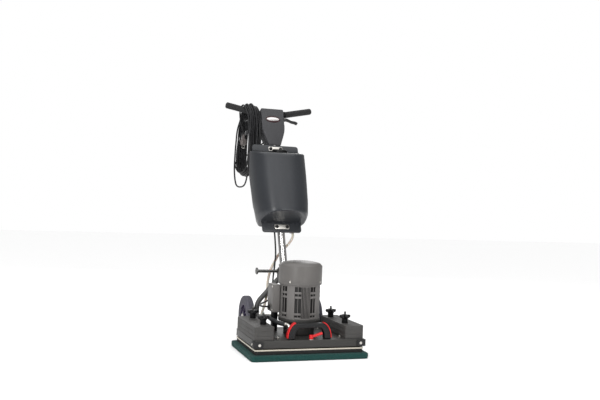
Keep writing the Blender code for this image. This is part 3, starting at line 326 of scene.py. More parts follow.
def cord_jacket(name, colour, roughness, rib=1.0):
    """Extruded cord jacket: lengthwise drawing lines, read from the cord's own UV map, and dust."""
    g = Graph(name)
    uv = g.node("ShaderNodeUVMap", {"uv_map": "around_and_along"}).outputs["UV"]
    lines = g.noise(1.0, 2.0, where=g.stretched(40.0, 6.0, 1.0, uv))
    dust = g.noise(40.0, 4.0).clipped(0.45, 0.75)
    tint = g.mix(dust, colour, darker(colour, 1.9))
    g.bump(lines * rib, 0.00012)
    return g.surface(tint, dust * 0.18 + lines * 0.06 + (roughness - 0.06))


def clear_tube():
    """Milky vinyl tube with a warm tint, a glossy skin and liquid marks inside."""
    g = Graph("clear_tube")
    uv = g.node("ShaderNodeUVMap", {"uv_map": "around_and_along"}).outputs["UV"]
    film = g.noise(1.0, 3.0, where=g.stretched(3.0, 30.0, 1.0, uv)).clipped(0.35, 0.7)
    core = g.noise(60.0, 3.0)
    tint = g.mix(film * 0.5, (0.5, 0.47, 0.4), (0.4, 0.36, 0.29))
    g.bump(core, 0.00004)
    return g.surface(tint, film * 0.1 + 0.22, subsurface_weight=0.15, coat_weight=0.4)


def winding():
    """Varnished copper wire and stacked steel sheets of the motor's inner ring."""
    g = Graph("winding")
    sheets = g.noise(1.0, 2.0, where=g.stretched(30.0, 30.0, 2600.0))
    wires = g.noise(1.0, 2.0, where=g.stretched(900.0, 900.0, 60.0))
    tint = g.mix(wires.clipped(0.4, 0.6), (0.36, 0.13, 0.05), (0.2, 0.07, 0.03))
    g.bump(sheets + wires, 0.0002)
    return g.surface(tint, wires * 0.2 + 0.25, 0.8)


def floor_paint():
    g = Graph("studio_floor")
    return g.surface((0.93, 0.93, 0.93), 0.75)


FINISH = {
    "grey_paint": painted("grey_enamel", (0.034, 0.033, 0.031), 0.46),
    "motor_paint": painted("motor_enamel", (0.112, 0.106, 0.101), 0.38),
    # The last pair gives the radii from the motor's axis inside which the casting is painted near black, as shade
    # between its fins.
    "motor_cast": casting("motor_casting", (0.135, 0.128, 0.123), 0.45, 420.0, 0.00012, (0.089, 0.0925)),
    "cast_weight": casting("weight_casting", (0.05, 0.048, 0.046), 0.56, 300.0, 0.00016),
    "steel": plated("zinc_plate", (0.62, 0.6, 0.56), 0.3),
    "leg_paint": painted("leg_enamel", (0.085, 0.084, 0.083), 0.4),
    "dark_steel": plated("oiled_steel", (0.16, 0.16, 0.155), 0.38),
    "driver_strip": plated("ground_steel", (0.6, 0.56, 0.48), 0.45),
    "chrome": plated("polished_chrome", (0.62, 0.61, 0.6), 0.16, (300.0, 300.0, 12.0), 0.000006),
    "copper": winding(),
    "bronze": plated("machined_bronze", (0.5, 0.35, 0.15), 0.35),
    "black_plastic": moulded("black_moulding", (0.006, 0.006, 0.0065), 0.42),
    "black_rubber": rubbery("black_rubber", (0.012, 0.012, 0.0125), 0.62),
    "red_plastic": moulded("red_moulding", (0.52, 0.015, 0.017), 0.36),
    "tyre_grey": rubbery("tyre_rubber", (0.058, 0.056, 0.068), 0.72, 300.0, 0.00016),
    "hub_purple": moulded("hub_moulding", (0.022, 0.015, 0.04), 0.45),
    "pad_green": pad_fibre(),
    "pad_grip": grip_fibre(),
    "tank_grey": tank_plastic(),
    "box_grey": moulded("box_moulding", (0.042, 0.042, 0.045), 0.46, 520.0, 0.00009),
    "badge_dark": moulded("badge_border", (0.03, 0.012, 0.014), 0.3),
    "badge_light": plated("badge_plate", (0.66, 0.63, 0.62), 0.32),
    "clear_hose": clear_tube(),
    "cord_black": cord_jacket("cord_jacket", (0.01, 0.01, 0.011), 0.42),
    "hose_dark": cord_jacket("feed_jacket", (0.022, 0.023, 0.024), 0.5),
    "plug_grey": moulded("plug_moulding", (0.13, 0.115, 0.11), 0.4),
    "studio_floor": floor_paint(),
}


# ---- Mesh tools ----
def link(name, data):
    item = bpy.data.objects.new(name, data)
    bpy.context.scene.collection.objects.link(item)
    return item


def mesh_from(work, name, recalculate=True):
    mesh = bpy.data.meshes.new(name)
    if recalculate:
        bmesh.ops.recalc_face_normals(work, faces=work.faces)
    work.to_mesh(mesh)
    work.free()
    return mesh


def evaluated_mesh(item):
    """The item's final mesh with its place baked in; the item and its modifiers go."""
    mesh = evaluated_in_place(item)
    mesh.transform(item.matrix_world)
    if item.matrix_world.determinant() < 0:
        mesh.flip_normals()
    bpy.data.objects.remove(item, do_unlink=True)
    return mesh


def settle(shape, name, body, slot, replaces=(), finish=None, sharp=38.0):
    """Turns a working shape, or several joined, into one finished piece that rides on a body."""
    shapes = shape if isinstance(shape, (list, tuple)) else [shape]
    work = bmesh.new()
    for part in shapes:
        mesh = evaluated_mesh(part)
        work.from_mesh(mesh)
        bpy.data.meshes.remove(mesh)
    mesh = bpy.data.meshes.new(name)
    work.to_mesh(mesh)
    work.free()
    mesh.materials.clear()
    mesh.materials.append(FINISH[finish or slot])
    for polygon in mesh.polygons:
        polygon.material_index = 0
    mesh.shade_smooth()
    mesh.set_sharp_from_angle(angle=math.radians(sharp))
    piece = link(name, mesh)
    if replaces:
        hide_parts(*replaces)
    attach(piece, body)
    return piece


def arc(centre, radii, start, end, count=8):
    angles = np.radians(np.linspace(start, end, count))
    return [(centre[0] + radii[0] * math.cos(a), centre[1] + radii[1] * math.sin(a)) for a in angles]


def circle(radius, centre=(0, 0), sides=48):
    return arc(centre, (radius, radius), 0, 360, sides + 1)[:-1]


def rounded_box(low, high, radius, count=6):
    (x0, y0), (x1, y1) = low, high
    points = []
    for x, y, start in ((x1 - radius, y1 - radius, 0), (x0 + radius, y1 - radius, 90),
                        (x0 + radius, y0 + radius, 180), (x1 - radius, y0 + radius, 270)):
        points += arc((x, y), (radius, radius), start, start + 90, count)
    return points


PLANES = {
    "XY": Matrix.Identity(4),
    "XZ": Matrix.Rotation(math.pi / 2, 4, "X"),
    "YZ": Matrix.Rotation(math.pi / 2, 4, "Z") @ Matrix.Rotation(math.pi / 2, 4, "X"),
}


def slab(outlines, thickness, centre, plane="XY", place=UPRIGHT, edge=0.0, segments=3):
    """A plate from flat outlines, the first outside and the rest holes, with rounded edges."""
    curve = bpy.data.curves.new("slab", "CURVE")
    curve.dimensions = "2D"
    curve.fill_mode = "BOTH"
    curve.extrude = thickness / 2
    for outline in outlines:
        line = curve.splines.new("POLY")
        line.points.add(len(outline) - 1)
        for target, point in zip(line.points, outline):
            target.co = (*point, 0.0, 1.0)
        line.use_cyclic_u = True
    flat = link("slab", curve)
    mesh = evaluated_mesh(flat)
    work = bmesh.new()
    work.from_mesh(mesh)
    bpy.data.meshes.remove(mesh)
    bmesh.ops.remove_doubles(work, verts=work.verts, dist=0.00001)
    bmesh.ops.dissolve_limit(work, angle_limit=0.002, verts=work.verts, edges=work.edges)
    item = link("slab", mesh_from(work, "slab"))
    item.matrix_world = place @ Matrix.Translation(centre) @ PLANES[plane]
    if edge:
        soften(item, edge, segments)
    return item


def across(outline, thickness, y, edge=0.0, segments=3):
    """A plate that faces the front of the handle, with its middle y behind the pole's axis."""
    return slab([outline], thickness, (0, y, 0), "XZ", HANDLE, edge=edge, segments=segments)


def mirrored(points):
    return [(-x, z) for x, z in points[::-1]]


def soften(item, width, segments=3, angle=40.0):
    step = item.modifiers.new("rounded", "BEVEL")
    step.width = width
    step.segments = segments
    step.limit_method = "ANGLE"
    step.angle_limit = math.radians(angle)
    return item


def block(low, high, edge=0.0, place=UPRIGHT, segments=3):
    low, high = Vector(low), Vector(high)
    work = bmesh.new()
    bmesh.ops.create_cube(work, size=1.0)
    bmesh.ops.scale(work, vec=high - low, verts=work.verts)
    item = link("block", mesh_from(work, "block"))
    item.matrix_world = place @ Matrix.Translation((low + high) / 2)
    if edge:
        soften(item, edge, segments)
    return item


def lathe(profile, place=UPRIGHT, steps=64):
    """A closed profile of (radius, height) points turned about local Z; points at radius 0 are poles."""
    work = bmesh.new()
    angles = [2 * math.pi * i / steps for i in range(steps)]
    rings = [[work.verts.new((0, 0, height))] if radius < ON_AXIS else
             [work.verts.new((radius * math.cos(a), radius * math.sin(a), height)) for a in angles]
             for radius, height in profile]
    for lower, upper in zip(rings, rings[1:] + rings[:1]):
        if len(lower) == 1 and len(upper) == 1:
            continue
        for i in range(steps):
            j = (i + 1) % steps
            corners = [ring[k % len(ring)] for ring, k in ((lower, i), (lower, j), (upper, j), (upper, i))]
            work.faces.new(list(dict.fromkeys(corners)))
    item = link("lathe", mesh_from(work, "lathe"))
    item.matrix_world = place
    return item


def quadratic(start, middle, end, count):
    """Points of the curve that leaves start towards middle and reaches end from it."""
    return [(1 - t) ** 2 * start + 2 * t * (1 - t) * middle + t**2 * end for t in np.linspace(0, 1, count)]


def rounded_profile(points, radius, count=4):
    """A closed profile whose corners, apart from those on the axis, are rounded."""
    out = []
    for i, point in enumerate(points):
        here = Vector(point)
        before, after = Vector(points[i - 1]), Vector(points[(i + 1) % len(points)])
        one, two = before - here, after - here
        reach = min(radius, one.length * 0.45, two.length * 0.45)
        if here.x < ON_AXIS or reach < NO_ROUNDING:
            out.append(tuple(here))
            continue
        start, end = here + one.normalized() * reach, here + two.normalized() * reach
        out += [tuple(p) for p in quadratic(start, here, end, count)]
    return out


def smooth_route(points, spacing):
    """Points spaced evenly along a Catmull-Rom curve through the given points."""
    points = [np.array(p, float) for p in points]
    ends = [2 * points[0] - points[1], *points, 2 * points[-1] - points[-2]]
    fine = []
    for a, b, c, d in zip(ends, ends[1:], ends[2:], ends[3:]):
        for t in np.linspace(0, 1, 16, endpoint=False):
            fine.append(0.5 * (2 * b + (c - a) * t + (2 * a - 5 * b + 4 * c - d) * t**2
                               + (3 * b - a - 3 * c + d) * t**3))
    fine.append(points[-1])
    fine = np.array(fine)
    along = np.concatenate([[0], np.cumsum(np.linalg.norm(np.diff(fine, axis=0), axis=1))])
    places = np.linspace(0, along[-1], max(2, round(along[-1] / spacing)) + 1)
    return np.stack([np.interp(places, along, fine[:, k]) for k in range(3)], axis=1)


def turned(points, radius, place=UPRIGHT, steps=64):
    return lathe(rounded_profile(points, radius), place, steps)


def rod(inner, outer, low, high, radius=0.0, place=UPRIGHT, steps=64):
    """A turned rod, or a ring if inner isn't 0, from low to high along local Z."""
    points = [(inner, low), (outer, low), (outer, high), (inner, high)]
    return turned(points, radius, place, steps) if radius else lathe(points, place, steps)


def sweep(route, radius, place=UPRIGHT, sides=12, round_ends=True):
    """A round tube along points, with a UV map that runs around it and along it. radius may be a list."""
    route = [Vector(p) for p in route]
    radii = radius if isinstance(radius, (list, tuple, np.ndarray)) else [radius] * len(route)
    tangents = [(b - a).normalized() for a, b in zip(route, route[1:])]
    tangents = [tangents[0], *((a + b).normalized() for a, b in zip(tangents, tangents[1:])), tangents[-1]]
    normal = tangents[0].orthogonal().normalized()
    stations = []
    travelled = 0.0
    for i, (point, tangent, size) in enumerate(zip(route, tangents, radii)):
        normal = (normal - tangent * normal.dot(tangent)).normalized()
        if i:
            travelled += (point - route[i - 1]).length
        stations.append((point, tangent, normal, size, travelled))
    if round_ends:
        first, last = stations[0], stations[-1]
        for share, drop in ((0.92, 0.38), (0.55, 0.72)):
            reach = (first[0] - first[1] * first[3] * drop * 0.3, last[0] + last[1] * last[3] * drop * 0.3)
            stations.insert(0, (reach[0], first[1], first[2], first[3] * share, 0.0))
            stations.append((reach[1], last[1], last[2], last[3] * share, travelled))
    work = bmesh.new()
    layer = work.loops.layers.uv.new("around_and_along")
    rings = []
    for point, tangent, normal, size, _ in stations:
        side = tangent.cross(normal)
        rings.append([work.verts.new(point + (normal * math.cos(a) + side * math.sin(a)) * size)
                      for a in (2 * math.pi * k / sides for k in range(sides))])
    for index, (lower, upper) in enumerate(zip(rings, rings[1:])):
        for k in range(sides):
            face = work.faces.new((lower[k], lower[(k + 1) % sides], upper[(k + 1) % sides], upper[k]))
            for loop, (turn, where) in zip(face.loops, ((0, 0), (1, 0), (1, 1), (0, 1))):
                loop[layer].uv = ((k + turn) / sides, stations[index + where][4])
    work.faces.new(rings[0][::-1])
    work.faces.new(rings[-1])
    item = link("sweep", mesh_from(work, "sweep"))
    item.matrix_world = place
    return item


def carve(item, *cutters):
    """Cuts the shapes away at once, and removes them."""
    for cutter in cutters:
        step = item.modifiers.new("cut", "BOOLEAN")
        step.operation = "DIFFERENCE"
        step.object = cutter
    item.data = evaluated_in_place(item)
    item.modifiers.clear()
    for cutter in cutters:
        bpy.data.objects.remove(cutter, do_unlink=True)
    return item


def evaluated_in_place(item):
    bpy.context.view_layer.update()
    graph = bpy.context.evaluated_depsgraph_get()
    return bpy.data.meshes.new_from_object(item.evaluated_get(graph), depsgraph=graph)


# ---- Geometry Nodes: fasteners, and ribs set round a circle ----
def new_tree(name, sockets):
    tree = bpy.data.node_groups.new(name, "GeometryNodeTree")
    for label, kind in (("Geometry", "NodeSocketGeometry"), *sockets):
        tree.interface.new_socket(name=label, in_out="INPUT", socket_type=kind)
    tree.interface.new_socket(name="Geometry", in_out="OUTPUT", socket_type="NodeSocketGeometry")
    return tree, tree.nodes.new("NodeGroupInput"), tree.nodes.new("NodeGroupOutput")


def tree_node(tree, kind, settings=None, inputs=None):
    made = tree.nodes.new(kind)
    for key, value in (settings or {}).items():
        setattr(made, key, value)
    for key, value in (inputs or {}).items():
        if isinstance(value, bpy.types.NodeSocket):
            tree.links.new(value, made.inputs[key])
        else:
            made.inputs[key].default_value = value
    return made


def maths(tree, operation, first, second):
    return tree_node(tree, "ShaderNodeMath", {"operation": operation}, {0: first, 1: second}).outputs[0]


def lifted(tree, geometry, height):
    lift = tree_node(tree, "ShaderNodeCombineXYZ", None, {"Z": height}).outputs[0]
    inputs = {"Geometry": geometry, "Translation": lift}
    return tree_node(tree, "GeometryNodeTransform", None, inputs).outputs[0]


def set_on_points(tree, points, shape, turn, finish, result):
    """Ends the tree: a real copy of the shape on every point, turned and with its material."""
    placed = tree_node(tree, "GeometryNodeInstanceOnPoints", None, {
        "Points": points, "Instance": shape, "Rotation": turn.outputs[0]})
    real = tree_node(tree, "GeometryNodeRealizeInstances", None, {"Geometry": placed.outputs[0]})
    coloured = tree_node(tree, "GeometryNodeSetMaterial", None, {
        "Geometry": real.outputs[0], "Material": finish})
    tree.links.new(coloured.outputs[0], result.inputs[0])
    return tree


def fastener_tree():
    """A washer and a many-sided head, with a shallow dome, on every point; each faces its own way."""
    tree, given, result = new_tree("fasteners", (
        ("Head Radius", "NodeSocketFloat"), ("Head Height", "NodeSocketFloat"),
        ("Washer Radius", "NodeSocketFloat"), ("Sides", "NodeSocketInt"), ("Finish", "NodeSocketMaterial")))
    value = given.outputs
    washer_height = 0.0012
    washer = tree_node(tree, "GeometryNodeMeshCylinder", None, {
        "Vertices": 24, "Radius": value["Washer Radius"], "Depth": washer_height}).outputs["Mesh"]
    head = tree_node(tree, "GeometryNodeMeshCylinder", None, {
        "Vertices": value["Sides"], "Radius": value["Head Radius"],
        "Depth": value["Head Height"]}).outputs["Mesh"]
    dome = tree_node(tree, "GeometryNodeMeshCone", None, {
        "Vertices": 20, "Radius Top": maths(tree, "MULTIPLY", value["Head Radius"], 0.62),
        "Radius Bottom": maths(tree, "MULTIPLY", value["Head Radius"], 0.84),
        "Depth": maths(tree, "MULTIPLY", value["Head Height"], 0.22)}).outputs["Mesh"]
    head_middle = maths(tree, "ADD", maths(tree, "MULTIPLY", value["Head Height"], 0.5), washer_height)
    head_top = maths(tree, "ADD", value["Head Height"], washer_height - 0.0001)
    joined = tree.nodes.new("GeometryNodeJoinGeometry")
    for part, height in ((washer, washer_height / 2), (head, head_middle), (dome, head_top)):
        tree.links.new(lifted(tree, part, height), joined.inputs[0])
    facing = tree_node(tree, "GeometryNodeInputNamedAttribute", {"data_type": "FLOAT_VECTOR"}, {
        "Name": "facing"})
    turn = tree_node(tree, "FunctionNodeAlignRotationToVector", {"axis": "Z"}, {
        "Vector": facing.outputs["Attribute"]})
    return set_on_points(tree, value["Geometry"], joined.outputs[0], turn, value["Finish"], result)


def rib_tree():
    """Boxes set round a circle about local Z, each with its long side pointing outwards."""
    tree, given, result = new_tree("ribs_round_a_circle", (
        ("Count", "NodeSocketInt"), ("Circle Radius", "NodeSocketFloat"), ("Rib Size", "NodeSocketVector"),
        ("Finish", "NodeSocketMaterial")))
    value = given.outputs
    ring = tree_node(tree, "GeometryNodeMeshCircle", None, {
        "Vertices": value["Count"], "Radius": value["Circle Radius"]})
    rib = tree_node(tree, "GeometryNodeMeshCube", None, {"Size": value["Rib Size"]}).outputs["Mesh"]
    outward = tree.nodes.new("GeometryNodeInputPosition").outputs[0]
    turn = tree_node(tree, "FunctionNodeAlignRotationToVector", {"axis": "X", "pivot_axis": "Z"}, {
        "Vector": outward})
    return set_on_points(tree, ring.outputs[0], rib, turn, value["Finish"], result)


def run_tree(tree, mesh, values):
    """A working item whose mesh comes from the tree, with the named inputs set."""
    item = link(tree.name, mesh)
    step = item.modifiers.new("made", "NODES")
    step.node_group = tree
    for entry in tree.interface.items_tree:
        if entry.item_type == "SOCKET" and entry.in_out == "INPUT" and entry.name in values:
            step[entry.identifier] = values[entry.name]
    item.data = evaluated_in_place(item)
    item.modifiers.clear()
    return item


FASTENERS = fastener_tree()
RIBS = rib_tree()


def bolts(places, head, height, washer, sides=6, place=UPRIGHT):
    """Bolt heads at (point, facing) pairs, as one working item."""
    mesh = bpy.data.meshes.new("bolt_points")
    mesh.from_pydata([tuple(p) for p, _ in places], [], [])
    facing = mesh.attributes.new("facing", "FLOAT_VECTOR", "POINT")
    facing.data.foreach_set("vector", [c for _, f in places for c in f])
    item = run_tree(FASTENERS, mesh, {
        "Head Radius": head, "Head Height": height, "Washer Radius": washer,
        "Sides": sides, "Finish": FINISH["steel"]})
    item.matrix_world = place
    return item


def ribs(count, radius, size, place, finish):
    mesh = bpy.data.meshes.new("rib_points")
    mesh.from_pydata([(0, 0, 0)], [], [])
    item = run_tree(RIBS, mesh, {
        "Count": count, "Circle Radius": radius, "Rib Size": size, "Finish": FINISH[finish]})
    item.matrix_world = place
    return item


def at(x, y, z):
    return Matrix.Translation((x, y, z))


# ---- The power cord: its lead, its hanging loops, and the end that goes to the plug ----
CORD_RADIUS = 0.00425
HOSE_RADIUS = 0.0065
CORD_LEAD_ROUTE = [
    (-0.03, 0.62, 1.022), (-0.033, 0.64, 1.013), (-0.048, 0.682, 0.99), (-0.07, 0.712, 0.972),
    (-0.087, 0.728, 0.957), (-0.098, 0.7318, 0.95),
]
PLUG_ALONG = 0.05  # where the plug hangs, along the loops
HANK_CENTRE = Vector((-0.118, 0.636, 0))
HANK_TURN = math.radians(12.0)
HANK_ALONG = Vector((-math.sin(HANK_TURN), math.cos(HANK_TURN), 0))  # from the front of the loops to the back
HANK_ACROSS = Vector((math.cos(HANK_TURN), math.sin(HANK_TURN), 0))
COLUMNS = 7
COLUMN_MIDDLE = 0.004
COLUMN_PITCH = 0.0088
ROW_PITCH = 0.0087
GRIP_SKEW = -0.435  # how far the grip runs back along the loops for each metre across them
GRIP_SLOPE = -0.237  # and how far it falls


def hank_place(t, n, z):
    return HANK_CENTRE + HANK_ALONG * t + HANK_ACROSS * n + Vector((0, 0, z))


# One turn on the inner row: along the loops, height, how much each further row moves it along and up,
# and how far it follows the grip. It starts at the back, goes under, and comes up the front.
TURN = (
    (0.077, 0.955, 1.0, 0.0, 0.0), (0.077, 0.908, 1.0, -0.4, 0.0), (0.054, 0.866, 0.6, -0.8, 0.0),
    (0.004, 0.852, 0.0, -1.0, 0.0), (-0.046, 0.868, -0.6, -0.8, 0.0), (-0.072, 0.91, -1.0, -0.4, 0.0),
    (-0.078, 0.965, -1.0, 0.0, 0.0), (-0.079, 1.03, -1.0, 0.0, 0.0), (-0.078, 1.09, -1.0, 0.0, 0.0),
    (-0.072, 1.143, -1.0, 0.0, 0.0), (-0.05, 1.184, -0.75, 0.65, 0.8), (-0.0142, 1.2075, 0.0, 1.0, 1.0),
    (0.022, 1.186, 0.75, 0.65, 1.0), (0.046, 1.14, 1.0, 0.1, 0.5), (0.062, 1.083, 1.0, 0.0, 0.1),
    (0.073, 1.015, 1.0, 0.0, 0.0),
)


DRIFT_FROM = 9  # the place in TURN where a turn starts to move over to the next one
LOW_SLACK = (0, 0.6, 1, 1, 1, 0.6)  # how far each low place of a turn takes part in its slack


def turn_places(row, n, slack, wobble, rise, step):
    """Points of one turn. Over its last part it moves by rise rows and by step across, to the next turn."""
    places = []
    for index, (t, z, out_t, out_z, follow) in enumerate(TURN):
        drift = max(0.0, (index - DRIFT_FROM) / 7)
        level = (row + rise * drift) * ROW_PITCH
        across = n + step * drift
        sway = wobble * math.sin(index * 1.1)
        low = slack * LOW_SLACK[index] if index < len(LOW_SLACK) else 0.0
        bulge = row * 0.0022 * (1 + math.sin(index * 0.9 + n * 300)) * (1 - follow) * (z < 1.1)
        across += (0.3 if across < COLUMN_MIDDLE else 0.1) * (across - COLUMN_MIDDLE) * (z < 1.12)
        swing = (sway if out_t > 0.5 else -abs(sway)) * (1 - follow)
        places.append(hank_place(t + out_t * (level + bulge) + swing + GRIP_SKEW * across * follow,
                                 across + sway * 0.5, z + out_z * level - low + GRIP_SLOPE * across * follow))
    return places


def cord_points():
    rng = np.random.default_rng(7)
    # The turns fill the inner row first, across the grip and back, and then the next row out.
    slots = [(0, c) for c in range(COLUMNS)] + [(1, c) for c in reversed(range(COLUMNS))] + [(2, 3)]
    points = [Vector(p) for p in CORD_LEAD_ROUTE]
    across = [(c - (COLUMNS - 1) / 2) * COLUMN_PITCH + COLUMN_MIDDLE for _, c in slots]
    for index, (row, _) in enumerate(slots):
        following = min(index + 1, len(slots) - 1)
        slack = (0.07 if index == len(slots) - 2 else 0.0) + float(rng.uniform(0, 0.004))
        turn = turn_places(row, across[index], slack, float(rng.uniform(-0.0015, 0.0015)),
                           slots[following][0] - row, across[following] - across[index])
        points += turn[1:] if index == 0 else turn
    # The last length comes up beside the turns, over the grip, and down inside them to the plug.
    side = -0.033
    for (t, z, out_t, out_z, _), share in zip(TURN[:8], np.linspace(0, 1, 8)):
        points.append(hank_place(t + out_t * 2 * ROW_PITCH, across[-1] + (side - across[-1]) * share,
                                 z + out_z * 2 * ROW_PITCH))
    for t, n, z in ((-0.083, side, 1.085), (-0.072, side, 1.14), (-0.04, side, 1.188), (-0.0005, side, 1.216),
                    (0.034, side, 1.194), (0.039, side + 0.003, 1.155), (0.0405, -0.022, 1.12),
                    (0.044, -0.01, 1.092), (0.049, -0.002, 1.074), (PLUG_ALONG, 0.0, 1.058)):
        points.append(hank_place(t, n, z))
    return points


def make_plug():
    """A moulded plug with a ribbed strain relief and three pins, hanging inside the loops."""
    turn = Matrix.Rotation(math.pi / 2 + HANK_TURN, 4, "Z")
    place = Matrix.Translation(hank_place(PLUG_ALONG, 0, 0)) @ turn
    outline = rounded_box((-0.0135, 1.003), (0.0135, 1.036), 0.007, 8)
    body = slab([outline], 0.0295, (0, 0, 0), "XZ", place, edge=0.005, segments=5)
    neck = [(0, 1.03), (0.0098, 1.03), (0.0092, 1.039)]
    for z in np.arange(1.041, 1.057, 0.004):
        rib = 0.0086 - (z - 1.04) * 0.12
        neck += [(rib, z), (rib, z + 0.0022), (0.0064, z + 0.0026), (0.0064, z + 0.0036)]
    relief = lathe([*neck, (0.0056, 1.0585), (0, 1.0585)], place, 32)
    plug = settle([body, relief], "mains_plug", "handle", "plug_grey", ("plug",), sharp=50)
    low, high = 0.9855, 1.006
    pins = [block((-0.0008, n - 0.0032, low), (0.0008, n + 0.0032, high), 0.0005, place)
            for n in (-0.007, 0.007)]
    pins.append(rod(0, 0.0024, low, high, 0.001, place @ at(0.0085, 0, 0), 20))
    return plug, settle(pins, "plug_pins", "handle", "steel")


def make_power_cord():
    place = HANDLE @ at(-0.03, 0.0456, 0.76) @ ALONG_Y
    profile = [(0, 0), (0.01, 0), (0.01, 0.003), (0.0088, 0.004)]
    for i in range(5):
        z, r = 0.0046 + i * 0.0024, 0.0082 - i * 0.00045
        profile += [(r, z), (r, z + 0.0013), (r - 0.0014, z + 0.0016), (r - 0.0014, z + 0.0022)]
    relief = lathe([*profile, (0.0052, 0.0166), (0, 0.0166)], place, 32)
    relief = settle(relief, "strain_relief", "handle", "black_rubber", ("cord_gland",))
    plug, pins = make_plug()
    route = [Vector(p) for p in smooth_route(cord_points(), 0.008)]
    cord = settle(sweep(route, CORD_RADIUS, sides=8), "power_cord", "handle", "black_rubber",
                  ("cord_lead", "cord_hank"), "cord_black")


# ---- The motor cable and the two hoses ----
MOTOR_CABLE_ROUTE = [
    (-0.03, 0.532, 0.984), (-0.03, 0.512, 0.935), (-0.03, 0.455, 0.797), (-0.03, 0.378, 0.61),
    (-0.032, 0.313, 0.452), (-0.04, 0.293, 0.38), (-0.047, 0.288, 0.32), (-0.05, 0.285, 0.275),
    (-0.058, 0.262, 0.233), (-0.078, 0.228, 0.216), (-0.108, 0.191, 0.209), (-0.14, 0.148, 0.206),
    (-0.161, 0.105, 0.205), (-0.167, 0.07, 0.205), (-0.163, 0.055, 0.205), (-0.152, 0.044, 0.205),
    (-0.138, 0.04, 0.205), (-0.1338, 0.04, 0.205),
]
SOLUTION_ROUTE = [
    (0.061, 0.3347, 0.539), (0.0605, 0.3263, 0.5187), (0.045, 0.33, 0.488), (0.02, 0.336, 0.458),
    (-0.01, 0.329, 0.428), (-0.035, 0.314, 0.392), (-0.053, 0.304, 0.362), (-0.067, 0.295, 0.327),
    (-0.078, 0.279, 0.284), (-0.081, 0.27, 0.24), (-0.097, 0.256, 0.18), (-0.109, 0.249, 0.148),
    (-0.1146, 0.233, 0.135), (-0.115, 0.2168, 0.134),
]

FEED_RADIUS = 0.01
FEED_ROUTE = [(-0.115, 0.215, 0.134), (-0.116, 0.12, 0.146), (-0.123, 0.03, 0.147), (-0.114, -0.035, 0.143),
              (-0.09, -0.08, 0.14)]


def finished_hose(name, points, radius, slot, node, finish, blend=None):
    route = [Vector(p) for p in smooth_route(points, 0.006)]
    work = sweep(route, radius, sides=14)
    if blend is None:
        hose = settle(work, name, "base", slot, (node,), finish)
    else:
        mesh = evaluated_mesh(work)
        mesh.materials.append(FINISH[finish])
        mesh.shade_smooth()
        hose = link(name, mesh)
        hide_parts(node)
        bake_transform(hose)
    return hose


def make_hoses():
    finished_hose("motor_lead", MOTOR_CABLE_ROUTE, CORD_RADIUS, "black_rubber", "motor_cable", "cord_black",
                  ((-0.052, 0.275, 0.255), (-0.035, 0.3, 0.43)))
    finished_hose("solution_tube", SOLUTION_ROUTE, HOSE_RADIUS, "clear_hose", "solution_hose", "clear_hose",
                  ((-0.08, 0.272, 0.23), (0.04, 0.33, 0.48)))
    finished_hose("feed_line", FEED_ROUTE, FEED_RADIUS, "black_rubber", "feed_hose", "hose_dark")


# ---- The scrubbing deck ----
HALF_X, HALF_Y = 0.254, 0.178
CHASSIS_MIDDLE, BUMPER_REACH, HOUSING_BORE = 0.069, 0.0073, 0.0512
KNOB_FOOT = 0.1444
BOX_SIDE = -0.132  # the outer face of the terminal box
AXLE, WHEEL_X, LEG_X = (0.3, 0.125), 0.175, 0.137
DECK = 0.0863  # the chassis top, with the gap that keeps touching pieces apart


def stack_rings(rings, wrap=False):
    """A closed mesh through rings of equal count; wrap joins the last ring to the first."""
    work = bmesh.new()
    made = [[work.verts.new(p) for p in ring] for ring in rings]
    pairs = list(zip(made, made[1:])) + ([(made[-1], made[0])] if wrap else [])
    for lower, upper in pairs:
        for i in range(len(lower)):
            j = (i + 1) % len(lower)
            work.faces.new((lower[i], lower[j], upper[j], upper[i]))
    if not wrap:
        for ring, turn in ((made[0], -1), (made[-1], 1)):
            centre = work.verts.new(sum((v.co for v in ring), Vector()) / len(ring))
            for i in range(len(ring)):
                work.faces.new((ring[i], ring[(i + 1) % len(ring)], centre)[::turn])
    return link("stack", mesh_from(work, "stack"))


def resampled(outline, spacing):
    closed = [Vector((*p, 0)) for p in [*outline, outline[0]]]
    points = []
    for a, b in zip(closed, closed[1:]):
        count = max(1, round((b - a).length / spacing))
        points += [tuple(a.lerp(b, i / count))[:2] for i in range(count)]
    return points


def make_pad():
    """Fibre pad with slightly ragged sides and softly rounded edges."""
    rng = np.random.default_rng(3)
    corner = (HALF_X + 0.0192, HALF_Y + 0.0215)
    outline = resampled(rounded_box((-corner[0], -corner[1]), corner, 0.018, 8), 0.004)
    rings = []
    for z, inset in ((0.0002, 0.0045), (0.0012, 0.0018), (0.004, 0.0006), (0.009, 0.0002), (0.014, 0.0),
                     (0.019, 0.0004), (0.0225, 0.001), (0.0243, 0.0026), (0.0249, 0.005)):
        ring = []
        rough = np.convolve(rng.uniform(-1, 1, len(outline)), (0.25, 0.5, 0.25), "same") * 0.0009
        for (x, y), r in zip(outline, rough):
            shrink = inset - r
            ring.append((x - math.copysign(min(shrink, abs(x)), x) * (abs(x) > HALF_X - 0.01),
                         y - math.copysign(min(shrink, abs(y)), y) * (abs(y) > HALF_Y - 0.01), z))
        rings.append(ring)
    settle(stack_rings(rings), "scrubbing_pad", "driver", "pad_green", ("pad",), sharp=70)
    grip = slab([rounded_box((0.003 - HALF_X, 0.003 - HALF_Y), (HALF_X - 0.003, HALF_Y - 0.003), 0.01)],
                0.0162, (0, 0, 0.0335), edge=0.0015)
    settle(grip, "hook_layer", "driver", "black_rubber", ("pad_grip",), "pad_grip")


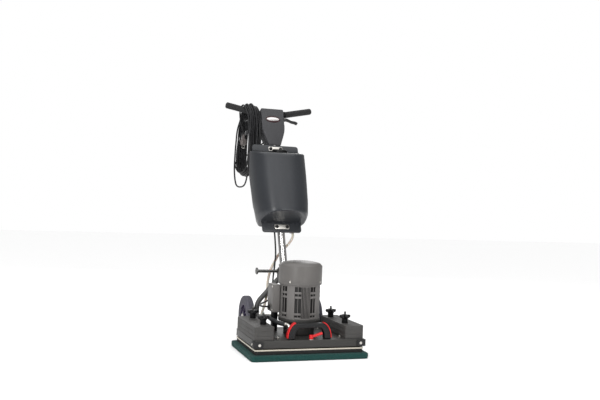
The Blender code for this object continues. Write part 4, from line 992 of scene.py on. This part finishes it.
def stud_thread(x, y):
    """The threaded end of a stud: crests and roots, with a chamfered tip."""
    pitch, crest, root, low, tip = 0.0016, 0.005, 0.0042, 0.14, 0.1962
    profile = [(0, 0.082), (crest, 0.082), (crest, low)]
    count = int((tip - low - 0.001) / pitch)
    for i in range(count):
        z = low + (i + 0.2) * pitch
        profile += [(root, z + 0.25 * pitch), (crest, z + 0.75 * pitch)]
    profile += [(root, tip), (root * 0.8, tip + 0.0008), (0, tip + 0.0008)]
    return lathe(profile, at(x, y, 0), 14)


STUD_X, STUD_ROWS = 0.195, (("front", -0.085), ("rear", 0.1))
STUDS = [(f"{end}_{side}", s * STUD_X, y) for side, s in SIDES for end, y in STUD_ROWS]


def make_chassis():
    outline = rounded_box((-HALF_X, -HALF_Y), (HALF_X, HALF_Y), 0.012, 8)
    body = slab([outline], 0.034, (0, 0, CHASSIS_MIDDLE), edge=0.0025, segments=4)
    wall = 0.008
    hollow = block((wall - HALF_X, wall - HALF_Y, 0.04), (HALF_X - wall, HALF_Y - wall, 0.078))
    carve(body, hollow, rod(0, HOUSING_BORE, 0.06, 0.1))
    settle(body, "chassis_casting", "base", "grey_paint", ("chassis",))
    threads = [stud_thread(x, y) for _, x, y in STUDS]
    settle(threads, "stud_threads", "base", "steel", finish="dark_steel", sharp=60)


def make_bumpers():
    for side, s in SIDES:
        reach, front = HALF_X + BUMPER_REACH, HALF_Y + BUMPER_REACH
        outline = [(HALF_X + 0.0003, -HALF_Y + 0.035), (HALF_X + 0.0003, -HALF_Y - 0.0003),
                   (HALF_X - 0.035, -HALF_Y - 0.0003), (HALF_X - 0.035, -front + 0.001),
                   (HALF_X - 0.0335, -front),
                   *arc((reach - 0.008, 0.008 - front), (0.008, 0.008), 272, 358, 9),
                   (reach, -HALF_Y + 0.0335), (reach - 0.001, -HALF_Y + 0.035)]
        item = slab([[(s * x, y) for x, y in outline]], 0.0298, (0, 0, CHASSIS_MIDDLE), edge=0.0018)
        settle(item, f"corner_bumper_{side}", "base", "black_rubber", (f"bumper_{side}",))


def make_weights():
    thick = 0.019
    for side, s in SIDES:
        inner, outer = sorted((s * (HALF_X - 0.089), s * HALF_X))
        outline = rounded_box((inner, -HALF_Y + 0.007), (outer, HALF_Y - 0.015), 0.01, 8)
        shape = [outline, *[circle(0.006, (s * STUD_X, y), 20) for _, y in STUD_ROWS]]
        lower = [slab(shape, thick, (0, 0, z), edge=0.0022) for z in (0.0958, 0.1152)]
        settle(lower, f"lower_weights_{side}", "base", "cast_weight", (f"weight_{side}_lower",))
        upper = slab(shape, thick, (0, 0, 0.1346), edge=0.0026, segments=4)
        settle(upper, f"top_weight_{side}", "base", "cast_weight", (f"weight_{side}_upper",))


def make_knobs():
    """Four-lobed knobs whose boss runs on the stud."""
    angles = [2 * math.pi * i / 72 for i in range(72)]
    # Each station: mean radius, how deep the lobes are, height above the foot.
    stations = [(0.0135, 0, 0), (0.014, 0, 0.001), (0.0138, 0, 0.017), (0.0155, 0.02, 0.021),
                (0.0212, 0.14, 0.0236), (0.0255, 0.22, 0.0252), (0.0268, 0.24, 0.0285),
                (0.0268, 0.24, 0.033), (0.026, 0.24, 0.0358),
                (0.0238, 0.22, 0.0374), (0.0172, 0.12, 0.0379), (0.0108, 0, 0.0371), (0.01, 0, 0.0379),
                (0.0062, 0, 0.0379), (0.0054, 0, 0.0372), (0.0054, 0, 0.0)]
    for name, x, y in STUDS:
        rings = []
        for r, depth, z in stations:
            reach = [r * (1 - depth + depth * math.cos(4 * a)) for a in angles]
            rings.append([(x + k * math.cos(a), y + k * math.sin(a), KNOB_FOOT + z)
                          for k, a in zip(reach, angles)])
        body = "knob_" + "".join(word[0] for word in name.split("_"))
        knob = stack_rings(rings, wrap=True)
        settle(knob, f"star_{name}", body, "black_plastic", (f"knob_{name}",), sharp=50)


# ---- Motor and drive ----
def polar(radius, degrees):
    return radius * math.cos(math.radians(degrees)), radius * math.sin(math.radians(degrees))


def make_drive_housing():
    floor, web = 0.0257, 0.0257 + 0.012
    points = [(HOUSING_BORE, 0), (0.0712, 0), (0.0712, 0.05), (0.078, 0.06), (0.097, 0.06), (0.097, 0.074),
              (HOUSING_BORE, 0.074), (HOUSING_BORE, web), (0.0093, web), (0.0093, floor),
              (HOUSING_BORE, floor)]
    housing = turned(points, 0.003, at(0, 0, DECK), 96)
    settle(housing, "drive_casting", "base", "grey_paint", ("drive_housing",))


def motor_outline():
    """Thin fins in the middle of each side, a plain recess beside them, and a smooth pillar between sides."""
    core, tip = 0.0862, 0.094
    edge, wall = tip - 0.0008, core - 0.001
    # Each run of the plain stretch from the fins to the next side's fins: a radius and its angles.
    runs = ((wall, (15.5, 18.5, 21.8)), (tip - 0.0012, (22.3, 23.7)), (wall, (24.2, 27.5, 31)),
            (tip - 0.003, (32.2,)), (edge, (33.2,)), (tip, np.linspace(34.5, 55.5, 9)),
            (edge, (56.8,)), (tip - 0.003, (57.8,)),
            (wall, (59, 62.5, 65.8)), (tip - 0.0012, (66.3, 67.7)), (wall, (68.2, 71.5, 74.5)))
    points = []
    for middle in range(0, 360, 90):
        for fin in range(-3, 4):
            angle = middle + fin * 4.1
            points += [polar(r, angle + a) for r, a in (
                (core, -1.1), (edge, -0.85), (tip, -0.55), (tip, 0.55), (edge, 0.85), (core, 1.1))]
        points += [polar(r, middle + a) for r, angles in runs for a in angles]
    return points


def make_motor():
    low, height = 0.1606, 0.155
    shapes = [slab([motor_outline(), circle(0.08)], height, (0, 0, low + height / 2)),
              slab([circle(0.081), circle(0.0093, sides=24)], 0.012, (0, 0, 0.3096))]
    for quarter in range(4):
        for side in (-1, 1):
            turn = Matrix.Rotation(math.radians(quarter * 90 + side * 23.2), 4, "Z")
            for foot in (0.161, 0.18, 0.256, 0.276):
                shapes.append(block((0.082, -0.0148, foot), (0.0936, 0.0148, foot + 0.01), 0.0016, turn))
    shapes += [rod(0.0862, 0.0935, z, z + h, 0.0015, steps=96) for z, h in ((low, 0.006), (0.308, 0.0074))]
    settle(shapes, "motor_casting", "base", "motor_paint", ("motor_body",), "motor_cast")


def make_cowl():
    low, height, dome, outer = 0.3159, 0.089, 0.019, 0.101
    wall, bend = outer - 0.0025, 0.009
    top = arc((outer - bend, low + height - 0.007), (bend, bend), 0, 66, 8)
    start_r, start_z = top[-1]
    rise = low + height + dome - start_z
    crown = arc((0, start_z), (start_r, rise), 12, 90, 12)
    crown[-1] = (0, crown[-1][1])
    inner = [(max(r * wall / outer - 0.0004, 0), z - 0.0028) for r, z in (top + crown)][::-1]
    inner[0] = (0, inner[0][1])
    lip = [(wall, low), (outer - 0.0006, low), (outer, low + 0.0006), (outer, low + 0.01),
           (outer - 0.0007, low + 0.0108), (outer - 0.0007, low + 0.0116), (outer, low + 0.0124)]
    shell = lathe([*lip, *top, *crown, *inner], UPRIGHT, 96)
    settle(shell, "cowl_shell", "base", "motor_paint", ("fan_cowl",))


def make_terminal_box():
    low, high = (BOX_SIDE, -0.01, 0.184), (-0.0965, 0.08, 0.312)
    settle(block(low, high, 0.005, segments=4), "terminal_housing", "base", "motor_paint", ("terminal_box",))
    points = [(0.005, 0), (0.0105, 0), (0.0105, 0.003), (0.0085, 0.006), (0.005, 0.006)]
    spot = at(BOX_SIDE - 0.0002, 0.04, 0.205) @ Matrix.Rotation(-math.pi / 2, 4, "Y")
    settle(turned(points, 0.001, spot, 28), "cable_grommet", "base", "black_rubber")


def make_lift_handle():
    centre, spot = (0.056, 0), (0, -0.15, DECK)
    outer = arc(centre, (0.043, 0.071), 0, 90, 22)
    inner = arc((0.048, 0), (0.021, 0.05), 90, 0, 22)
    outline = [*outer, *mirrored(outer), *mirrored(inner), *inner]
    item = slab([outline], 0.03, spot, "XZ", edge=0.0042, segments=4)
    settle(item, "carrying_arch", "base", "black_plastic", ("lift_handle",))
    band = [*arc(centre, (0.0483, 0.0763), 4, 78, 20), *arc(centre, (0.0434, 0.0714), 78, 4, 20)]
    for side, s in SIDES:
        trim = slab([[(s * x, z) for x, z in band]], 0.024, spot, "XZ", edge=0.0014)
        settle(trim, f"arch_trim_{side}", "base", "red_plastic", (f"lift_handle_trim_{side}",))


def make_clamp_lever():
    x, y = 0.006, -0.163
    spot = at(x, y, DECK)
    route = smooth_route([(x + along, y, DECK + up) for along, up in (
        (0, 0.012), (0.015, 0.015), (0.03, 0.02), (0.042, 0.0242), (0.05, 0.0268))], 0.002)
    size = [0.0058 + 0.0009 * (i / len(route)) ** 2 for i in range(len(route))]
    settle([rod(0, 0.009, 0, 0.02, 0.0025, spot, 32), sweep(route, size, sides=20)],
           "red_lever", "clamp", "red_plastic", ("clamp_lever",), sharp=50)
    settle(rod(0.0095, 0.0145, 0, 0.0016, 0.0004, spot, 32), "lever_washer", "base", "steel")


def make_feed():
    x, y, z = FEED_ROUTE[-1]
    stand_x, stand_y = x + 0.0122, y - 0.0232
    bend = smooth_route([(x + 0.0006, y - 0.0011, z - 0.0001), (x + 0.0062, y - 0.0118, z - 0.0006),
                         (x + 0.01, y - 0.019, z - 0.0045), (stand_x, stand_y, z - 0.012),
                         (stand_x, stand_y, DECK + 0.034)], 0.0015)
    elbow = sweep(bend, [0.0105 if i < 5 else 0.0085 for i in range(len(bend))], sides=24)
    nut = slab([circle(0.0115, sides=6)], 0.006, (stand_x, stand_y, DECK + 0.0395), edge=0.0008)
    settle([elbow, nut], "feed_fitting", "base", "steel", ("feed_elbow",), sharp=50)
    half = 0.016
    valve = block((stand_x - half, stand_y - half, DECK),
                  (stand_x + half, stand_y + half, DECK + 0.036), 0.0025)
    settle(valve, "valve_block", "base", "black_plastic")
    coil = block((-0.105, 0.0755, DECK), (-0.08, 0.11, 0.176), 0.003)
    settle(coil, "valve_coil", "base", "black_plastic")


# ---- Yoke, wheels and pedal ----
def make_legs():
    depth, foot = 0.25, 0.15  # how far back the legs stand, and where they meet the plates
    for side, s in SIDES:
        top, bend = Vector((s * 0.028, depth, 0.3163)), Vector((s * LEG_X, depth, 0.195))
        slope = (bend - Vector((s * 0.04, depth, 0.303))).normalized()
        first, last = bend - slope * 0.03, bend - Vector((0, 0, 0.03))
        knee = [tuple(p) for p in quadratic(first, bend, last, 12)]
        start = first + (top - first) * ((abs(first.x) - 0.032) / (abs(first.x) - abs(top.x)))
        leg = sweep([start, *knee, (s * LEG_X, depth, foot - 0.006)], 0.0125, sides=32, round_ends=False)
        plate = slab([[(0.116, DECK), (0.18, DECK), (0.198, 0.1), *arc(AXLE, (0.025, 0.025), -90, 90, 19),
                       (0.2335, 0.15), (0.168, DECK + 0.018), (0.116, DECK + 0.012)]],
                     0.016, (s * LEG_X, 0, 0), "YZ", edge=0.0016)
        bead = turned([(0.0115, -0.003), (0.015, -0.002), (0.0135, 0.0035), (0.0115, 0.004)], 0.001,
                      at(s * LEG_X, depth, foot), 32)
        settle([leg, plate, bead], f"yoke_leg_{side}", "base", "grey_paint", (f"yoke_{side}_leg",),
               "leg_paint", sharp=50)


def make_pedal():
    y, z, pivot = 0.224, 0.336, (0.258, 0.35)
    spot = at(0, *pivot) @ ALONG_X
    arm = slab([[*arc((y, z), (0.008, 0.008), 110, 290, 14), *arc(pivot, (0.011, 0.011), -60, 110, 14)],
                circle(0.0043, (y, z), 20)], 0.007, (-0.0345, 0, 0), "YZ", edge=0.001)
    peg = turned([(0, -0.145), (0.0155, -0.145), (0.017, -0.1435), (0.017, -0.1385), (0.0155, -0.137),
                  (0.0075, -0.136), (0.0075, -0.037), (0, -0.037)], 0.0012, spot, 40)
    ridges = [rod(0.007, 0.0082, x, x + 0.0022, 0.0006, spot, 32) for x in np.arange(-0.131, -0.075, 0.0075)]
    settle([arm, peg, *ridges], "foot_peg", "pedal", "steel", ("release_pedal",), "dark_steel", sharp=45)


def make_wheels():
    half, lift = 0.019, 0.0098
    crown = arc((0.0885, half - lift), (0.0105, lift), 90, 8, 9)
    grooves = [(0.099, 0.0058), (0.0972, 0.005), (0.0972, 0.004), (0.099, 0.0032)]
    side_wall = [(0.0643, half - 0.002), (0.0665, half - 0.0012), (0.07, half - 0.0004),
                 (0.072, half - 0.0012), (0.0745, half - 0.0004)]
    tyre = [*side_wall, *crown, *grooves]
    rim = half - 0.002
    hub = [(0.0083, -half), (0.02, -half), (0.02, -0.006), (0.054, -0.006), (0.054, -rim), (0.064, -rim),
           (0.064, rim), (0.054, rim), (0.054, 0.006), (0.02, 0.006), (0.02, half), (0.0083, half)]
    cap = [(0, 0.019), (0.0125, 0.019), (0.0125, 0.0215), (0.0085, 0.0232), (0, 0.0235)]
    for side, s in SIDES:
        wheel, middle = f"wheel_{side}", at(s * WHEEL_X, *AXLE)
        spot = middle @ ALONG_X
        settle(lathe([*tyre, *[(r, -z) for r, z in tyre[::-1]]], spot, 96),
               f"solid_tyre_{side}", wheel, "tyre_grey", (f"tyre_{side}",))
        spokes = ribs(9, 0.037, (0.036, 0.0045, 0.03), spot, "hub_purple")
        settle([turned(hub, 0.0018, spot, 96), spokes],
               f"spoked_hub_{side}", wheel, "hub_purple", (f"hub_{side}",))
        settle(turned(cap, 0.001, middle @ Matrix.Rotation(s * math.pi / 2, 4, "Y"), 32),
               f"wheel_cap_{side}", wheel, "steel")


# ---- Pole, tank and their clamps ----
def make_pole():
    tube = rod(0, 0.019, 0.034, 0.882, 0.001, HANDLE)
    lug = slab([[*arc((0, 0), (0.018, 0.018), 180, 360, 24), (0.018, 0.04), (-0.018, 0.04)],
                circle(0.0083, sides=24)], 0.04, (0, 0, 0), "YZ", HANDLE, edge=0.0016)
    settle([tube, lug], "chrome_pole", "handle", "chrome", ("pole",), sharp=50)


TANK_BACK, TANK_FLANGE, TANK_BELLY, TANK_LOW, TANK_HIGH = -0.012, 0.011, 0.145, 0.2465, 0.6515
POLE_GROOVE = 0.0193


CLAMPS = (("top", TANK_HIGH + 0.014), ("bottom", TANK_LOW - 0.02))


def tank_height(depth, share):
    forward = depth / TANK_BELLY
    low = TANK_LOW + 0.015 * forward
    return low + (TANK_HIGH - 0.075 * forward - low) * share


FLANGE_MIDDLE = TANK_BACK - TANK_FLANGE / 2
# The half width at shares of the height, at the sides and in front, and how far the lobes reach behind.
SIDE_WIDTHS = (0, 0.06, 0.19, 0.26, 0.63, 0.96, 1), (0.1115, 0.122, 0.129, 0.134, 0.143, 0.1425, 0.1395)
FRONT_WIDTHS = (0, 0.06, 0.19, 0.26, 0.63), (0.122, 0.1315, 0.1365, 0.1385, 0.143)
LOBE_DEPTHS = (0, 0.75, 0.92), (0.028, 0.028, TANK_BACK + 0.001)


def tank_ring(share, inset, level=None):
    """One level of the belly. Behind, it has a lobe on each side and a half-round groove for the pole."""
    level = share if level is None else level
    half = float(np.interp(share, *SIDE_WIDTHS)) - inset
    front = max(half, float(np.interp(share, *FRONT_WIDTHS)) - inset)
    ring = []
    for step in range(49):
        angle = math.pi * step / 48
        x = front * math.copysign(abs(math.cos(angle)) ** 0.72, math.cos(angle))
        depth = (TANK_BELLY - inset) * abs(math.sin(angle)) ** 0.8
        ring.append((x, FLANGE_MIDDLE - depth, tank_height(depth, level)))
    groove = [(-(POLE_GROOVE + 0.003), TANK_BACK), *arc((0, 0), (POLE_GROOVE, POLE_GROOVE), 218, 322, 11),
              (POLE_GROOVE + 0.003, TANK_BACK)]
    lobe = float(np.interp(share, *LOBE_DEPTHS)) - inset
    corner = min(0.012, 0.4 * (lobe - FLANGE_MIDDLE))
    channel = 0.045 + inset
    left = [*[(corner - half - corner * math.cos(a), lobe - corner + corner * math.sin(a))
              for a in np.radians((0, 30, 60, 90))],
            (-channel - corner * 0.3, lobe), (-channel, lobe - corner * 0.3), (-channel, TANK_BACK)]
    for x, y in [*left, *groove, *mirrored(left)]:
        ring.append((x, y, tank_height(min(FLANGE_MIDDLE - y, 0.0), level)))
    return ring


def make_tank():
    rings = [tank_ring(0, 0.01, 0.004), tank_ring(0, 0.0055, 0.0), tank_ring(0, 0.0022, 0.003),
             tank_ring(0.01, 0.0006)]
    rings += [tank_ring(share, 0.0) for share in (0.02, 0.04, 0.06, 0.09, 0.12, 0.15, 0.19, 0.23, 0.26, 0.33,
                                                  0.42, 0.52, 0.63, 0.72, 0.8, 0.88, 0.94, 0.965)]
    rings += [tank_ring(0.98, 0.0008), tank_ring(0.992, 0.003), tank_ring(0.999, 0.0068),
              tank_ring(1, 0.012, 1.0)]
    belly = stack_rings(rings)
    belly.matrix_world = HANDLE
    shapes = [belly]
    for half, low, high in ((0.126, TANK_HIGH - 0.012, TANK_HIGH + 0.037),
                            (0.103, TANK_LOW - 0.048, TANK_LOW + 0.012)):
        outline = rounded_box((-half, low), (half, high), 0.014, 10)
        item = across(outline, TANK_FLANGE - 0.0004, FLANGE_MIDDLE, 0.0022)
        shapes.append(carve(item, rod(0, POLE_GROOVE, low - 0.02, high + 0.02, place=HANDLE, steps=48)))
    outlet = block((0.049, TANK_BACK - 0.003, 0.2045), (0.073, 0.012, 0.2345), 0.002, HANDLE)
    settle([*shapes, outlet], "solution_tank", "handle", "tank_grey", ("tank",), sharp=48)


def make_tank_cap():
    depth = 0.07
    spot = HANDLE @ at(0, FLANGE_MIDDLE - depth, tank_height(depth, 1)) @ Matrix.Rotation(
        math.atan2(0.075, TANK_BELLY), 4, "X")
    cap = turned([(0, -0.01), (0.0293, -0.01), (0.0293, 0.0003), (0.0375, 0.0003), (0.038, 0.012),
                  (0.034, 0.016), (0.018, 0.016), (0.016, 0.0145), (0, 0.0145)], 0.0014, spot, 72)
    grips = ribs(36, 0.0376, (0.0026, 0.0022, 0.0105), spot @ at(0, 0, 0.0064), "black_plastic")
    bar = block((-0.015, -0.003, 0.014), (0.015, 0.003, 0.0158), 0.0006, spot)
    settle([cap, grips, bar], "filler_cap", "cap", "black_plastic", ("tank_cap",))
    collar = turned([(0.03, -0.004), (0.0415, -0.004), (0.0405, 0.0002), (0.03, 0.0002)], 0.001, spot, 72)
    settle(collar, "filler_collar", "handle", "tank_grey")


def make_tank_clamps():
    for label, z in CLAMPS:
        outline = rounded_box((-0.038, z - 0.012), (0.038, z + 0.012), 0.004, 8)
        plate = across(outline, 0.003, TANK_BACK - TANK_FLANGE - 0.0018, 0.0006)
        settle(plate, f"clamp_plate_{label}", "handle", "steel", (f"tank_clamp_{label}",))


# ---- Switch box, bar, grips and triggers ----
def box_outline(inset):
    right = [(0.0615, 0.909), (0.063, 0.9055), (0.063, 0.8015), (0.0618, 0.788), (0.06, 0.776),
             (0.054, 0.7545), (0.0485, 0.738), (0.043, 0.722), (0.0375, 0.706), (0.034, 0.6955)]
    scale = (0.063 - inset) / 0.063
    top, bottom = 0.9115 - inset, 0.6915 + inset
    half = [(0.0575 * scale, top), *[(x * scale, min(max(z, bottom + 0.003), top - 0.002)) for x, z in right],
            (0.03 * scale, bottom)]
    return [*half, *mirrored(half)]


BOX_FRONT, BOX_BACK, TRIGGER_X = -0.023, 0.042, 0.078


BAR_SPOT = (0.015, 0.8965)  # the bar's middle, the triggers' pivot and the button, as (y, z) in the handle
TRIGGER_SPOT = (0.015, 0.87)
BUTTON = HANDLE @ at(0, 0.015, 0.8285) @ ALONG_X


def make_switch_box():
    body = across(box_outline(0), BOX_BACK - BOX_FRONT, (BOX_FRONT + BOX_BACK) / 2, 0.0042, 4)
    carve(body, across(box_outline(0.0033), 0.0717, 0.0162),
          rod(0, 0.0128, -0.08, 0.08, place=HANDLE @ at(0, *BAR_SPOT) @ ALONG_X, steps=40),
          rod(0, POLE_GROOVE, 0.68, 0.72, place=HANDLE, steps=40),
          rod(0, 0.0063, 0.053, 0.073, place=BUTTON, steps=24))
    shapes, pins = [body], []
    for _, s in SIDES:
        ends = sorted((s * 0.061, s * 0.084))
        for y in (0.0055, 0.0245):
            shapes.append(block((ends[0], y - 0.0015, 0.863), (ends[1], y + 0.0015, 0.877), 0.0006, HANDLE))
        spot = HANDLE @ at(s * TRIGGER_X, *TRIGGER_SPOT) @ ALONG_Y
        pins.append(rod(0, 0.0025, -0.0115, 0.0115, 0.0004, spot, 20))
    settle(shapes, "switch_housing", "handle", "box_grey", ("switch_box",), sharp=30)
    settle(pins, "trigger_pins", "handle", "steel")
    settle(across(box_outline(0.0004), 0.003, BOX_BACK + 0.0018, 0.0011),
           "rear_cover", "handle", "box_grey", ("switch_box_cover",))


def make_badge():
    front = BOX_FRONT - 0.0003
    for name, radii, y, slot, look in (("border", (0.041, 0.0205), front, "black_plastic", "badge_dark"),
                                       ("face", (0.0345, 0.0105), front - 0.0008, "steel", "badge_light")):
        oval = arc((0, 0.8465), radii, 0, 355, 72)
        settle(across(oval, 0.0012, y, 0.0004), f"badge_{name}", "handle", slot, finish=look)


def make_button():
    collar = rod(0.0064, 0.0098, 0.0622, 0.0652, 0.0008, BUTTON, 32)
    settle(collar, "button_collar", "handle", "black_plastic")
    settle(rod(0, 0.0059, 0.049, 0.074, 0.0016, BUTTON, 32), "safety_button", "button", "black_plastic",
           ("lock_button",))


def make_triggers():
    curve = [(0.0, 0.006), (0.012, 0.0045), (0.022, 0.0005), (0.032, -0.0052), (0.04, -0.008),
             (0.048, -0.0088), (0.056, -0.0096), (0.063, -0.0115), (0.069, -0.015), (0.0722, -0.0195), (0.07, -0.024),
             (0.065, -0.0252), (0.058, -0.0218), (0.05, -0.0195), (0.042, -0.0185), (0.034, -0.0158),
             (0.024, -0.011), (0.012, -0.0078), (0.0, -0.006)]
    rounded = smooth_route([(x, z, 0) for x, z in curve], 0.0016)
    outline = [(x, z) for x, z, _ in rounded] + arc((0, 0), (0.006, 0.006), 255, 105, 9)
    for side, s in SIDES:
        item = slab([[(s * x, z) for x, z in outline], circle(0.0028, sides=20)], 0.015,
                    (s * TRIGGER_X, *TRIGGER_SPOT), "XZ", HANDLE, edge=0.0028, segments=4)
        settle(item, f"finger_lever_{side}", f"{side}_trigger", "black_plastic",
               (f"trigger_{side}",), sharp=50)


def make_bar():
    start, end = Vector((0.07, *BAR_SPOT)), Vector((0.233, 0.032, 0.9425))
    along = (end - start).normalized()
    half = [Vector((0, *BAR_SPOT)), Vector((0.05, *BAR_SPOT))]
    knee = quadratic(start - Vector((0.014, 0, 0)), start, start + along * 0.014, 10)
    half += [Vector(p) for p in knee] + [end]
    other = [Vector((-p.x, p.y, p.z)) for p in half[:0:-1]]
    bar = sweep([*other, *half], 0.0125, HANDLE, 32, round_ends=False)
    settle(bar, "cross_bar", "handle", "black_plastic", ("handle_bar",), sharp=60)
    skip = 0.008 / along.x
    length = (end - start).length - skip
    ridges = []
    for z in np.arange(0.012, length - 0.004, 0.0062):
        ridges += [(0.017, z), (0.0163, z + 0.0012), (0.0163, z + 0.0022), (0.017, z + 0.0034)]
    closing = ((0.017, 0), (0.0162, 0.0042), (0.014, 0.0074), (0.01, 0.0097), (0.005, 0.0108), (0, 0.011),
               (0, 0.0003), (0.0128, 0.0003))
    profile = [(0.0128, 0), (0.0172, 0), (0.0186, 0.0012), (0.0186, 0.0045), (0.0172, 0.0058), *ridges,
               *[(r, length + z) for r, z in closing]]
    for side, s in SIDES:
        direction = Vector((s * along.x, along.y, along.z))
        foot = Vector((s * start.x, start.y, start.z)) + direction * skip
        spot = HANDLE @ Matrix.Translation(foot) @ direction.to_track_quat("Z", "Y").to_matrix().to_4x4()
        settle(lathe(profile, spot), f"ribbed_grip_{side}", "handle", "black_rubber",
               (f"grip_{side}",), sharp=60)


# ---- Screws and bolts, one piece for each body ----


def make_fasteners():
    up, front = (0, 0, 1), (0, -1, 0)
    deck_spots = ((-0.135, -0.118), (0.159, -0.116), (-0.135, 0.118), (0.135, 0.118))
    deck = bolts([((x, y, DECK), up) for x, y in deck_spots], 0.0055, 0.0048, 0.0055 * 1.35)
    corner_x, corner_y = HALF_X + BUMPER_REACH, -HALF_Y - BUMPER_REACH
    corner = bolts([((s * 0.235, corner_y, CHASSIS_MIDDLE), front) for s in (-1, 1)]
                   + [((s * corner_x, -HALF_Y + 0.019, CHASSIS_MIDDLE), (s, 0, 0)) for s in (-1, 1)],
                   0.0042, 0.0018, 0.0062, 20)
    cowl = bolts([((*polar(0.101, a), 0.33), (*polar(1, a), 0)) for a in (45, 135, 225, 315)],
                 0.0034, 0.0016, 0.005, 16)
    lid = bolts([((BOX_SIDE, y, z), (-1, 0, 0)) for y in (0, 0.07) for z in (0.194, 0.302)],
                0.0032, 0.0014, 0.0042, 16)
    settle([deck, corner, cowl, lid], "base_fasteners", "base", "steel", sharp=25)
    plate_front = TANK_BACK - TANK_FLANGE - 0.0033
    clamp = bolts([((s * 0.027, plate_front, z), front) for s in (-1, 1) for _, z in CLAMPS],
                  0.0078, 0.0062, 0.009, place=HANDLE)
    settle(clamp, "clamp_bolts", "handle", "black_plastic", sharp=25)
    cover_spots = ((0.054, 0.901), (0.052, 0.8), (0.027, 0.702))
    cover = bolts([((s * x, BOX_BACK + 0.0033, z), (0, 1, 0)) for x, z in cover_spots for s in (-1, 1)],
                  0.003, 0.0014, 0.004, 16, place=HANDLE)
    settle(cover, "cover_screws", "handle", "steel", sharp=25)


# ---- The CAD pieces that stay, each with a finish ----
def finish_carried_pieces():
    looks = {
        "axle": "steel", "driver_plate": "driver_strip", "eccentric": "dark_steel",
        "eccentric_bearing": "bronze", "cooling_fan": "black_plastic",
        "isolator_left": "black_rubber", "isolator_right": "black_rubber",
        "pivot_pin": "steel", "rotor": "dark_steel", "stator": "copper", "yoke_head": "grey_paint",
    }
    for node, look in looks.items():
        item = frame["nodes"][node]
        for place in item.material_slots:
            place.material = FINISH[look]


for make in (
    make_camera, make_power_cord, make_hoses, make_studio, make_pad, make_chassis, make_bumpers,
    make_weights, make_knobs, make_drive_housing, make_motor, make_cowl, make_terminal_box,
    make_lift_handle, make_clamp_lever, make_feed, make_legs, make_pedal, make_wheels, make_pole,
    make_tank, make_tank_cap, make_tank_clamps, make_switch_box, make_badge, make_button, make_triggers,
    make_bar, make_fasteners,
):
    make()
finish_carried_pieces()
